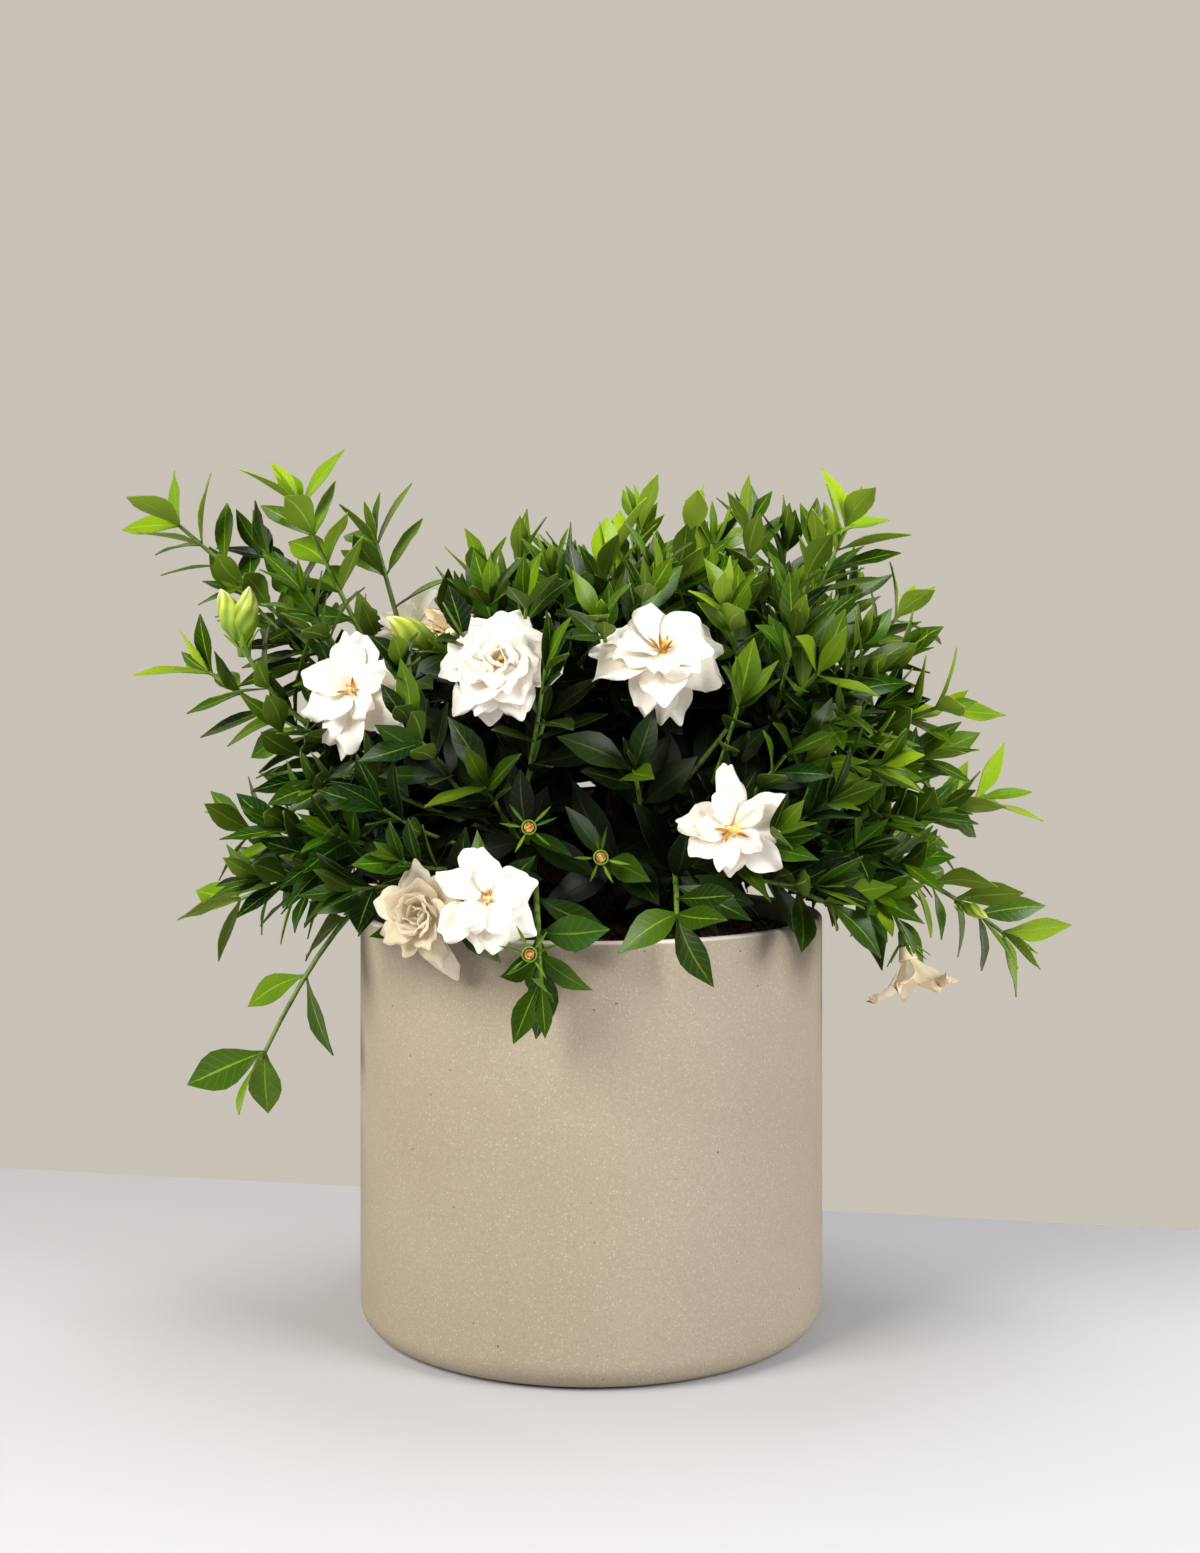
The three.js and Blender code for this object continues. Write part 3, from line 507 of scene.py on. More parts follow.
plan = [
    ((-112, 5, 362), [
        shoot("left_high", (-272, 0, 518), 150, [2, 2, 2, 3], 10, 0.45),
        shoot("left_top", (-190, -14, 530), 140, [2, 2, 2, 3], -8, 0.5),
        shoot("left_top_side", (-142, 12, 506), 100, [2, 3, 3], -4, 0.3),
        shoot("left_reach", (-252, 12, 420), 100, [2, 2, 3], -20, 0.35),
        shoot("left_buds", (-222, -34, 438), 80, [2, 2], -18, 0.4, buds=2, facing=(-0.36, -0.1, 0.93)),
        shoot("left_back_high", (-158, 108, 448), 100, [2, 2, 3]),
    ]),
    ((-108, -12, 302), [
        shoot("left_mid", (-200, -30, 384), 96, [2, 3, 3], -12),
        shoot("left_low", (-222, -14, 318), 100, [2, 2, 3], -6),
        shoot("left_rim", (-236, 26, 268), 110, [2, 2, 3], 16, 0.35),
        shoot("left_hanging", (-208, -48, 176), 140, [2, 1, 2, 3], 72, 0.3),
    ]),
    ((-48, -62, 306), [
        shoot("bloom_low_left", (-96, -152, 280), 52, [3, 3], bloom="rose", size=26,
              facing=(-0.42, -0.88, 0.12)),
        shoot("bloom_low", (-60, -172, 291), 52, [2, 3], bloom="open", size=28,
              facing=(0.2, -0.92, 0.32)),
        shoot("calyx_high", (-36, -142, 330), 62, [3, 3], calyx=True, facing=(0.05, -0.98, 0.15)),
        shoot("front_hanging", (-28, -176, 244), 100, [2, 2, 3, 3], 44),
        shoot("front_left", (-62, -116, 352), 62, [2, 3, 3], -4, branches=[
            branch(0.4, (-124, -88, 348), [2, 3]),
            branch(0.5, (-28, -104, 392), [2, 3]),
        ]),
    ]),
    ((56, -60, 300), [
        shoot("calyx_mid", (6, -138, 312), 62, [3, 3], calyx=True, facing=(0.1, -0.97, 0.2)),
        shoot("front_rim", (50, -156, 280), 80, [2, 3, 3], 16),
        shoot("bloom_right", (82, -142, 328), 58, [2, 3], bloom="open", size=29,
              facing=(0.12, -0.97, 0.18)),
        shoot("right_rim", (142, -112, 282), 90, [2, 3, 3], 14),
        shoot("front_right", (26, -112, 362), 66, [2, 3, 3], -4, branches=[
            branch(0.35, (128, -104, 364), [2, 3]),
            branch(0.5, (84, -96, 388), [2, 3]),
        ]),
    ]),
    ((128, -4, 306), [
        shoot("right_low", (268, -16, 250), 120, [2, 2, 2, 3], 30, 0.5),
        shoot("right_reach", (256, 16, 336), 110, [2, 2, 3], -4, 0.6),
        shoot("bloom_hanging", (200, -46, 240), 66, [3, 2], bloom="withered", size=30,
              facing=(0.2, -0.3, -0.93)),
        shoot("right_back_low", (196, 92, 300), 100, [2, 2, 3], 8),
    ]),
    ((112, 0, 372), [
        shoot("right_mid", (222, -30, 398), 100, [2, 2, 3], -10, 0.6),
        shoot("right_high", (200, 0, 456), 96, [2, 2, 3], -6, 0.55),
        shoot("right_top", (168, 2, 516), 120, [2, 2, 2, 3], 6, 0.6),
        shoot("right_back_high", (168, 104, 424), 96, [2, 2, 3]),
        shoot("right_front", (138, -92, 420), 84, [2, 2, 3], 0, 0.4),
    ]),
    ((22, -4, 384), [
        shoot("top_right", (80, 0, 500), 100, [2, 2, 2, 3], 0, 0.5),
        shoot("top_mid", (14, -6, 496), 92, [2, 2, 2, 3], 0, 0.55),
        shoot("bloom_mid", (42, -112, 432), 62, [2, 3], bloom="open", size=37,
              facing=(0.12, -0.74, 0.66)),
        shoot("top_back", (40, 96, 470), 92, [2, 2, 3]),
    ]),
    ((-52, -4, 372), [
        shoot("top_left", (-64, 4, 466), 84, [2, 3, 3], 0, 0.5),
        shoot("bloom_left", (-148, -66, 408), 54, [2, 3], bloom="open", size=32,
              facing=(-0.2, -0.94, 0.28)),
        shoot("bloom_center", (-56, -114, 426), 58, [3, 2], bloom="open", size=33,
              facing=(0.05, -0.92, 0.38)),
        shoot("bloom_behind", (-124, 36, 446), 54, [2, 2], bloom="rose", size=28,
              facing=(-0.4, -0.5, 0.77)),
        shoot("bloom_brown", (-90, -36, 446), 48, [3], bloom="withered", size=17,
              facing=(-0.15, -0.75, 0.64)),
        shoot("small_bud", (-96, -62, 436), 50, [3], buds=1, facing=(-0.8, -0.35, 0.48)),
    ]),
    ((-40, 66, 316), [
        shoot("back_left", (-84, 144, 410), 90, [2, 2, 3], branches=[
            branch(0.42, (-142, 130, 330), [2, 3], 4),
        ]),
        shoot("back_low", (-42, 178, 316), 90, [2, 2, 3], 4),
    ]),
    ((44, 66, 316), [
        shoot("back_mid", (14, 150, 402), 90, [2, 2, 3]),
        shoot("back_right", (104, 138, 386), 90, [2, 2, 3], branches=[
            branch(0.36, (76, 172, 306), [2, 3], 4),
        ]),
    ]),
]

# %% [markdown]
# ## The growing rule
#
# A stem's line is a simple bend between two points. Leaves stand round it in whorls, each at its own
# turn, pitch and size, drawn from a plain seeded generator. Everything that has grown is kept as a
# few balls, and a leaf that would touch them is turned a little until it is clear.

# %% A stem's line


def unit(vector):
    """The same direction, with a length of 1."""
    vector = np.asarray(vector, float)
    return vector / np.linalg.norm(vector)


class Bend:
    """A line from start to end that is drawn towards a middle point."""

    def __init__(self, start, middle, end):
        self.start, self.middle, self.end = (np.array(p, float) for p in (start, middle, end))

    def point(self, t):
        k = 1 - t
        return k * k * self.start + 2 * k * t * self.middle + t * t * self.end

    def slope(self, t):
        return (self.middle - self.start) * (1 - t) + (self.end - self.middle) * t

    def length(self):
        points = np.array([self.point(i / 200) for i in range(201)])
        return np.linalg.norm(np.diff(points, axis=0), axis=1).sum()

    def frame(self, t):
        """The point at t, the way the line runs there, and two directions square to that."""
        heading = unit(self.slope(t))
        side = np.cross(self.end - self.start, up)
        if np.linalg.norm(side) < 1:
            side = np.array([1.0, 0.0, 0.0])
        side = unit(side - heading * (side @ heading))
        return self.point(t), heading, side, np.cross(side, heading)


bloom_tube = 17  # mm from the calyx to the throat


def shoot_line(start, row):
    """The line of a shoot. One that ends in a flower arrives the way that the flower looks."""
    start, end = np.array(start, float), np.array(row["tip"], float)
    if row.get("bloom"):
        end = end - unit(row["facing"]) * bloom_tube
    if row.get("facing"):
        middle = end - unit(row["facing"]) * np.linalg.norm(start - end) * 0.4
    else:
        middle = (start + end) / 2 + up * row["lift"]
    return Bend(start, middle, end)


# %% Draws
draw_state = [1]


def random():
    """The next draw from 0 to 1, by the same plain rule as the frame's."""
    draw_state[0] = (draw_state[0] * 1664525 + 1013904223) % 2**32
    return draw_state[0] / 2**32


def seed(number):
    """Starts the draws of one shoot, so that no shoot depends on another's."""
    draw_state[0] = (number * 40503 + 77) % 2**32
    random()


def spread(most):
    """A draw from -most to most."""
    return (random() * 2 - 1) * most


# %% Room that is taken
WOOD, FLOWER, LEAF = -1, -2, -3  # owners; a stem's is the number of its shoot
ball_radius = {"limb": 5, "stem": 3.4, "petal": 4, "bloom": 10, "bud": 9, "calyx": 13}
largest_ball = max(ball_radius.values())
most_balls = 90000
balls = np.zeros((most_balls, 5))  # rows of x, y, z, radius and owner
ball_count = [0]


def take(points, radius, owner):
    """Fills balls at these points."""
    points = np.atleast_2d(points)
    first, last = ball_count[0], ball_count[0] + len(points)
    balls[first:last, :3] = points
    balls[first:last, 3:] = radius, owner
    ball_count[0] = last


def is_free(points, radius, owner):
    """Whether balls at these points are clear of the pot, the soil and all that others own."""
    out, z = np.hypot(points[:, 0], points[:, 1]), points[:, 2]
    if np.any((out < pot_radius + radius) & (z < soil_top + soil_crown + radius)):
        return False
    over_wall = (out > pot_radius - pot_wall - radius) & (out < pot_radius + radius)
    if np.any(over_wall & (z < pot_height + radius)):
        return False
    near = balls[: ball_count[0]]
    low, high = points.min(0) - radius - largest_ball, points.max(0) + radius + largest_ball
    for axis in range(3):
        near = near[(near[:, axis] > low[axis]) & (near[:, axis] < high[axis])]
    near = near[near[:, 4] != owner]
    gaps = ((points[:, None] - near[None, :, :3]) ** 2).sum(2)
    return not np.any(gaps < (near[:, 3] + radius) ** 2)


# %% Leaves
leaf_length, leaf_slimness, leaf_fold = 51, 0.35, 0.28
ball_share, most_tries, first_whorl, whorl_turn = 0.095, 16, 0.15, 1.2


def stems_of(row):
    """A shoot of the plan and its side branches."""
    return [row, *row["branches"]]


def along_green(part, share):
    """Where on its line a share of a stem's leafy end lies, from the first whorl to the last."""
    last_whorl = 0.8 if part.get("facing") else 0.97
    green_from = part["green_from"]
    return green_from + (1 - green_from) * (first_whorl + (last_whorl - first_whorl) * share)


def leaf_pitch(share):
    """How far a leaf leans out from its stem. Those near the tip stand closer to it."""
    return (66 - 28 * share) * degree


def leaf_frame(line, t, turn, pitch, size, arch):
    """A leaf grows from its stem at t. `turn` is its way round the stem, `pitch` its angle from it."""
    at, heading, side, over = line.frame(t)
    out = side * math.cos(turn) + over * math.sin(turn)
    run = heading * math.cos(pitch) + out * math.sin(pitch)
    face = (heading * math.sin(pitch) - out * math.cos(pitch)) * 0.7 + up * 0.6
    face = unit(face - run * (face @ run))
    root = at - out * 0.5
    return {"root": root, "run": run, "face": face, "width": np.cross(run, face),
            "size": size, "arch": arch}


def leaf_point(leaf, u, v, width_share):
    """Points of a leaf, which folds up from its midrib and arches down to its tip."""
    u, v, width_share = (column[:, None] for column in (u, v, width_share))
    half = leaf["size"] * leaf_slimness * width_share / 2
    rise = leaf_fold * abs(u) * half - leaf["arch"] * leaf["size"] * v * v
    return leaf["root"] + leaf["run"] * leaf["size"] * v + leaf["width"] * u * half + leaf["face"] * rise


ball_rows = np.array([[u, v, 1.0] for v in (0.35, 0.5, 0.65, 0.8) for u in (-0.8, 0, 0.8)] + [[0, 1, 0]])


def grow_leaves(row, owner, draws):
    """The leaves of a shoot. Each is turned a little further, try by try, until it is clear."""
    seed(draws)
    leaves = []
    start = random() * full_turn
    line, top_level = row["line"], len(row["whorls"]) - 1
    for level, count in enumerate(row["whorls"]):
        share = level / top_level if top_level else 1
        t = along_green(row, share)
        for i in range(count):
            turn = start + level * whorl_turn + i * full_turn / count
            size = leaf_length * (1.06 - 0.16 * share + spread(0.12))
            for tries in range(most_tries):
                swing = 0.1 + tries * 0.04
                pitch = leaf_pitch(share) + spread(swing)
                leaf = leaf_frame(line, t, turn + spread(swing * 2), pitch, size, 0.14 + spread(0.1))
                spots = leaf_point(leaf, *ball_rows.T)
                if is_free(spots, size * ball_share, owner):
                    leaves.append({**leaf, "share": share})
                    take(spots, size * ball_share, LEAF)
                    break
    return leaves


# %% Petals
petal_cup, petal_tilt, petal_root = 0.14, 14 * degree, 3.5
petal_layers = {
    "open": [
        {"count": 6, "height": 0, "rise": 5, "long": 1, "wide": 0.8, "curl": -0.13},
        {"count": 5, "height": 2.6, "rise": 38, "long": 0.7, "wide": 0.62, "curl": -0.16},
    ],
    "rose": [
        {"count": 6, "height": 0, "rise": 8, "long": 1, "wide": 0.8, "curl": -0.16},
        {"count": 5, "height": 2.6, "rise": 54, "long": 0.62, "wide": 0.62, "curl": 0.1},
    ],
    "withered": [{"count": 6, "height": 1, "rise": 62, "long": 1, "wide": 0.56, "curl": -0.3}],
}


def flower_frame(tip, facing):
    """A frame that looks along `facing`, with two directions across it."""
    front = unit(facing)
    side = unit(np.cross(up, front))
    return {"centre": np.array(tip, float), "front": front, "side": side, "top": np.cross(front, side)}


def spoke(flower, turn, rise):
    """What stands round a flower's middle at a turn: its way out, the way it runs, and its face."""
    lean, front = rise * degree, flower["front"]
    out = flower["side"] * math.cos(turn) + flower["top"] * math.sin(turn)
    run = out * math.cos(lean) + front * math.sin(lean)
    return out, run, front * math.cos(lean) - out * math.sin(lean)


def petal_frame(flower, layer, size, turn):
    """A petal is tilted a little about its own length, so that each lies over the next."""
    out, run, face = spoke(flower, turn, layer["rise"])
    face = face * math.cos(petal_tilt) + np.cross(run, face) * math.sin(petal_tilt)
    root = flower["centre"] + out * petal_root + flower["front"] * layer["height"]
    return {"root": root, "run": run, "face": face, "width": np.cross(run, face),
            "long": size * layer["long"], "half": size * layer["wide"] / 2, "curl": layer["curl"]}


def petal_point(petal, u, v, width_share):
    """Points of a petal, which curls along its length and is cupped across it."""
    u, v, width_share = (column[:, None] for column in (u, v, width_share))
    half = petal["half"] * width_share
    rise = petal["curl"] * petal["long"] * v * v + petal_cup * u * u * half
    along = petal["root"] + petal["run"] * petal["long"] * v
    return along + petal["width"] * u * half + petal["face"] * rise


petal_ball_rows = np.array([[u, v, 0.9] for v in (0.45, 0.72, 0.96) for u in (-0.7, 0, 0.7)])


def grow_petals(row, number):
    """The petals of a bloom, layer by layer."""
    seed(number + 500)
    flower = flower_frame(row["tip"], row["facing"])
    petals = []
    for layer in petal_layers[row["bloom"]]:
        start = random() * full_turn
        for i in range(layer["count"]):
            turn = start + (i + spread(0.1)) * full_turn / layer["count"]
            size = row["size"] * (1 + spread(0.07))
            petals.append({**petal_frame(flower, layer, size, turn), "layer": layer})
    return petals


# %% Grow the shrub as the frame has it
trunk_top = soil_top + 16
crown_spread, limb_arch, twig_spacing, least_woody = 5, 14, 0.07, 0.12
bud_length = 33

limb_lines, shoots = [], []
for fork, rows in plan:
    fork = np.array(fork, float)
    crown = np.array([*unit(fork[:2]) * crown_spread, trunk_top - 6])
    limb = Bend(crown, (crown + fork) / 2 + up * limb_arch, fork)
    limb_lines.append(limb)
    take([limb.point(t) for t in (0.4, 0.55, 0.7, 0.85, 1)], ball_radius["limb"], WOOD)
    for i, row in enumerate(rows):
        row["line"] = shoot_line(limb.point(1 - i * twig_spacing), row)
        row["green_from"] = max(least_woody, 1 - row["green"] / row["line"].length())
        row["branches"] = [
            {**side, "line": shoot_line(row["line"].point(side["from"]), side), "green_from": 0,
             "young": row["young"]}
            for side in row.get("branches", [])
        ]
        shoots.append(row)

for number, row in enumerate(shoots):
    for part in stems_of(row):
        take([part["line"].point((i + 1) / 25) for i in range(24)], ball_radius["stem"], number)
    if not row.get("facing"):
        continue
    flower = flower_frame(row["tip"], row["facing"])
    if row.get("bloom"):
        row["petals"] = grow_petals(row, number)
        for petal in row["petals"]:
            take(petal_point(petal, *petal_ball_rows.T), ball_radius["petal"], FLOWER)
        take(flower["centre"], ball_radius["bloom"], FLOWER)
    if row.get("buds"):
        spots = [flower["centre"] + flower["front"] * s * bud_length for s in (0.3, 0.5, 0.7, 0.9)]
        take(spots, ball_radius["bud"], FLOWER)
    if row.get("calyx"):
        take(flower["centre"], ball_radius["calyx"], FLOWER)

for number, row in enumerate(shoots):
    row["leaves"] = grow_leaves(row, number, number)
    for i, side in enumerate(row["branches"]):
        side["leaves"] = grow_leaves(side, number, number + 100 * (i + 1))

# %% Compare with the frame
# Where a fine leaf lies outside its solid's box, the two rules have come apart.
leaf_outline = ((0.0, 0.0), (0.36, 0.97), (0.7, 0.76), (1.0, 0.0))  # place along it, share of its width
outline_rows = np.array([[u, v, w] for v, w in leaf_outline for u in (-1, 1)])
worst = 0
for row in shoots:
    spots = [leaf_point(leaf, *outline_rows.T) for part in stems_of(row) for leaf in part["leaves"]]
    if not spots:
        print(row["name"], "has no room for leaves")
        continue
    spots = np.concatenate(spots)
    low, high = (np.array(corner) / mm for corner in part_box("shoot_" + row["name"]))
    over = max((low - spots.min(0)).max(), (spots.max(0) - high).max())
    worst = max(worst, over)
leaf_total = sum(len(part["leaves"]) for row in shoots for part in stems_of(row))
print(leaf_total, "leaves; the furthest lies", round(worst, 3), "mm outside its solid")

# %% [markdown]
# ## Forms to copy
#
# Leaves and petals are both thin sheets, so both start from one grid, one unit wide and long, with
# its root drawn together and given a thickness. Each leaf is then a copy with its own mesh, whose
# points are laid on the leaf's own curved surface. A calyx cup and a furled bud are the solid forms.
# Four numbers are stored on every point for the finishes: `tone` varies from leaf to leaf, `young`
# is its age, the third is the painted shade of a leaf that lies deep in the shrub and the green of a
# petal that is fresh, and `under` is 1 on the lower side.

# %% Keep and copy forms
marks = ("tone", "young", "inner", "under")


def put_away(form, name):
    """Keeps a form's mesh for its copies, with room for the marks, and removes the object."""
    mesh = form.data
    mesh.name = name
    for key in marks:
        if key not in mesh.attributes:
            mesh.attributes.new(key, "FLOAT", "POINT")
    bpy.data.objects.remove(form)
    print(name, len(mesh.polygons), "faces")
    return mesh


def set_mark(mesh, key, values):
    """Stores one number, or one for each point, under a mark's name."""
    values = np.broadcast_to(np.asarray(values, np.float32), len(mesh.vertices))
    mesh.attributes[key].data.foreach_set("value", np.ascontiguousarray(values))


def copy_form(form, points, material, **values):
    """A copy of a form with its own mesh, laid on the given points (mm) and marked."""
    mesh = form.copy()
    set_points(mesh, points * mm)
    for key, value in values.items():
        set_mark(mesh, key, value)
    mesh.materials.append(material)
    copy = bpy.data.objects.new(form.name + "_copy", mesh)
    bpy.context.scene.collection.objects.link(copy)
    return copy


def stand_form(form, flower, ahead, size, material, **values):
    """A copy of a solid form that stands `ahead` mm from a flower's middle, along its facing."""
    basis = np.array([flower["side"], flower["top"], flower["front"]])
    points = flower["centre"] + flower["front"] * ahead + (points_of(form) * size) @ basis
    return copy_form(form, points, material, **values)


# %% The sheet forms
sheet_thickness = 0.02  # of the unit form; the real thickness comes with each copy


def sheet_form(name, across, along, pointed):
    """A closed sheet, drawn together at its root, and at its tip too if it is pointed.

    Its places come with it: each point's u from -1 to 1 across, its v from 0 to 1 along, its side.
    """
    deselect()
    bpy.ops.mesh.primitive_grid_add(x_subdivisions=across, y_subdivisions=along, size=1)
    form = bpy.context.object
    for end in (-0.5, 0.5) if pointed else (-0.5,):
        edit(form, lambda middle, point: abs(point.co.y - end) < 0.01, "VERT")
        bpy.ops.mesh.merge(type="CENTER")
        leave_edit()
    add_modifier(form, "SOLIDIFY", thickness=sheet_thickness, offset=0)
    only(form)
    bpy.ops.object.shade_smooth_by_angle(angle=60 * degree)
    form = put_away(form, name)
    points = points_of(form)
    set_mark(form, "under", points[:, 2] < 0)
    return form, (2 * points[:, 0], points[:, 1] + 0.5, np.sign(points[:, 2]))


leaf_form, leaf_places = sheet_form("leaf_form", 4, 7, True)
petal_form, petal_places = sheet_form("petal_form", 10, 10, False)

# %% [markdown]
# ### The calyx cup
#
# The calyx is the small green cup that holds a flower, and it stays on the plant when the flower
# has dropped. It starts as a cone, narrow at its stalk. Its wide end is inset three times and moved
# after each, which leaves a rim, a pit and a knob in the pit, where the flower broke off.

# %% The cup form
cup_steps = ((0.12, 0.08), (0.2, -0.3), (0.28, 0.2))  # how far in, then how far up

deselect()
bpy.ops.mesh.primitive_cone_add(vertices=14, radius1=0.55, radius2=1, depth=1)
cup = bpy.context.object
edit(cup)
bpy.ops.transform.translate(value=(0, 0, 0.5))
leave_edit()
edit(cup, lambda middle, face: face.normal.z > 0.9)
for inset, push in cup_steps:
    bpy.ops.mesh.inset(thickness=inset)
    bpy.ops.transform.translate(value=(0, 0, push))
leave_edit()
only(cup)
bpy.ops.object.shade_smooth_by_angle(angle=50 * degree)
cup_form = put_away(cup, "cup_form")

# %% [markdown]
# ### The bud
#
# A gardenia bud is a long spindle whose petals are still rolled round each other, so that ridges
# wind up it. It starts as a cylinder that is cut into rings, swelled and fluted ring by ring, and
# twisted with a Simple Deform modifier.

# %% The bud form
bud_radius, bud_flutes, bud_twist = 7.6, 5, 150 * degree
flute_depth = 0.2  # share of the radius
bud_swell = ((0, 0.15, 0.4, 0.65, 0.88, 1), (0.36, 0.62, 1, 0.9, 0.46, 0.06))  # places, shares of the radius

deselect()
bpy.ops.mesh.primitive_cylinder_add(vertices=30, radius=1, depth=1)
bud = bpy.context.object
edit(bud, lambda middle, edge: abs(edge.verts[0].co.z - edge.verts[1].co.z) > 0.5, "EDGE")
bpy.ops.mesh.subdivide(number_cuts=16)
leave_edit()
points = points_of(bud.data)
share = points[:, 2] + 0.5
flute = abs(np.cos(np.arctan2(points[:, 1], points[:, 0]) * bud_flutes / 2))
fluting = 1 - flute_depth + flute_depth * flute
points[:, :2] *= (np.interp(share, *bud_swell) * fluting * bud_radius)[:, None]
points[:, 2] = share * bud_length
set_points(bud.data, points)
for key in marks:
    bud.data.attributes.new(key, "FLOAT", "POINT")
set_mark(bud.data, "young", share)
set_mark(bud.data, "tone", 1 - flute)
add_modifier(bud, "SIMPLE_DEFORM", deform_method="TWIST", deform_axis="Z", angle=bud_twist)
only(bud)
bpy.ops.object.shade_smooth()
bud_form = put_away(bud, "bud_form")

# %% [markdown]
# ## Finishes of the green parts
#
# A gardenia leaf has a waxy upper skin: dark green, glossy, with a pale sunken midrib and about nine
# pairs of side veins that run forward. Underneath it is paler and matt, and a young leaf is
# yellow-green. Leaves deep in the shrub are painted nearly black, a painted shade. The pattern reads
# the leaf's own UV map, where the midrib is at a half, so it follows every fold. The side veins are
# one stripe pattern that slants away from the midrib.

# %% Leaf skin
leaf_skin = new_material("waxy_leaf", specular_ior_level=0.17)
tone, young, inner, under = (add_node(leaf_skin, "Attribute", attribute_name=key)["Fac"] for key in marks)
across, along, _ = add_node(leaf_skin, "SeparateXYZ", {0: add_node(leaf_skin, "TexCoord")["UV"]})
off_middle = add_node(leaf_skin, "Math", {0: across, 1: 0.5}, operation="SUBTRACT")[0]
from_midrib = add_node(leaf_skin, "Math", {0: off_middle}, operation="ABSOLUTE")[0]
nine_pairs = add_node(leaf_skin, "Math", {0: along, 1: 9.0}, operation="MULTIPLY")[0]
slant = add_node(leaf_skin, "Math", {0: from_midrib, 1: -3.2, 2: nine_pairs}, operation="MULTIPLY_ADD")[0]
vein_gap = add_node(leaf_skin, "Math", {0: slant, 1: 0.5}, operation="PINGPONG")[0]
veins = add_node(leaf_skin, "MapRange", {0: vein_gap, 1: 0.0, 2: 0.13, 3: 0.22, 4: 0.0})[0]
midrib = add_node(leaf_skin, "MapRange", {0: from_midrib, 1: 0.015, 2: 0.04, 3: 0.62, 4: 0.0})[0]

old = add_node(leaf_skin, "ValToRGB", {0: tone},
               stops=[(0.0, "081b04"), (0.45, "153805"), (1.0, "386509")])[0]
new = add_node(leaf_skin, "ValToRGB", {0: tone},
               stops=[(0.0, "4d7208"), (0.5, "7a9f10"), (1.0, "a8c324")])[0]
green = add_node(leaf_skin, "Mix", {0: young, 6: old, 7: new}, data_type="RGBA")[2]
place = add_node(leaf_skin, "TexCoord")["Object"]
drifts = add_node(leaf_skin, "TexNoise", {"Vector": place, "Scale": 22, "Detail": 3})[0]
bluish = add_node(leaf_skin, "MapRange", {0: drifts, 1: 0.5, 2: 0.68, 3: 0.0, 4: 0.45})[0]
for share, colour in ((bluish, "17461c"), (veins, "6d941c"), (midrib, "93b02c")):
    green = add_node(leaf_skin, "Mix", {0: share, 6: green, 7: srgb(colour)}, data_type="RGBA")[2]
pale = add_node(leaf_skin, "Mix", {0: young, 6: srgb("4b6419"), 7: srgb("94b032")}, data_type="RGBA")[2]
pale = add_node(leaf_skin, "Mix", {0: midrib, 6: pale, 7: srgb("a6ba50")}, data_type="RGBA")[2]
green = add_node(leaf_skin, "Mix", {0: under, 6: green, 7: pale}, data_type="RGBA")[2]
# Painted shade: leaves deep in the shrub are mixed towards near black, where light hardly reaches.
green = add_node(leaf_skin, "Mix", {0: inner, 6: green, 7: srgb("070b04")}, data_type="RGBA")[2]
gloss = add_node(leaf_skin, "MapRange", {0: under, 1: 0.0, 2: 1.0, 3: 0.26, 4: 0.6})[0]
gloss = add_node(leaf_skin, "Math", {0: inner, 1: 0.15, 2: gloss}, operation="MULTIPLY_ADD")[0]
furrows = add_node(leaf_skin, "Math", {0: veins, 1: midrib}, operation="MAXIMUM")[0]
bump = add_node(leaf_skin, "Bump", {"Height": furrows, "Strength": 0.4, "Distance": -0.4 * mm})[0]
finish_with(leaf_skin, base_color=green, roughness=gloss, normal=bump)

# %% [markdown]
# ### Green stem, bark and bud
#
# Green stems are smooth and a little shiny, with browner streaks where they harden. Bark is
# grey-brown and matt, cracked lengthwise every 2 mm or so, which a noise drawn out along Z gives. A
# bud is green at its base and pale yellow at its tip, with green left in its furrows, so its colours
# read the marks that its form carries.

# %% Green stem
green_stem = new_material("green_stem", roughness=0.5)
_, stem_colour = mottle(green_stem, 160, 2, [(0.35, "3a5a18"), (0.52, "5f7f28"), (0.75, "7d7a3c")])
finish_with(green_stem, base_color=stem_colour)

# %% Bark
bark = new_material("grey_brown_bark", roughness=0.85)
drawn_out = (1, 1, 0.25)
cracks, bark_colour = mottle(bark, 500, 4, [(0.3, "1d150e"), (0.52, "493827"), (0.8, "75614b")], drawn_out)
bump = add_node(bark, "Bump", {"Height": cracks, "Strength": 0.6, "Distance": 0.6 * mm})[0]
finish_with(bark, base_color=bark_colour, normal=bump)

# %% Bud skin
bud_skin = new_material("furled_bud", roughness=0.45)
young = add_node(bud_skin, "Attribute", attribute_name="young")["Fac"]
furrow = add_node(bud_skin, "Attribute", attribute_name="tone")["Fac"]
furrow = add_node(bud_skin, "Math", {0: furrow, 1: 0.9}, operation="MULTIPLY")[0]
bud_colour = add_node(bud_skin, "ValToRGB", {0: young},
                      stops=[(0.0, "55771a"), (0.4, "86a020"), (0.8, "bcc544"), (1.0, "ebe6a6")])[0]
bud_colour = add_node(bud_skin, "Mix", {0: furrow, 6: bud_colour, 7: srgb("5a8019")}, data_type="RGBA")[2]
finish_with(bud_skin, base_color=bud_colour)

# %% [markdown]
# ## Stems
#
# A stem is a Bezier curve with a round bevel, whose radius at each end makes it taper. Many stems of
# one material are splines of one curve, which is turned into one mesh. A stretch of a `Bend` is
# itself a simple bend, so two Bezier points with the right handles follow it exactly.

# %% Make stems


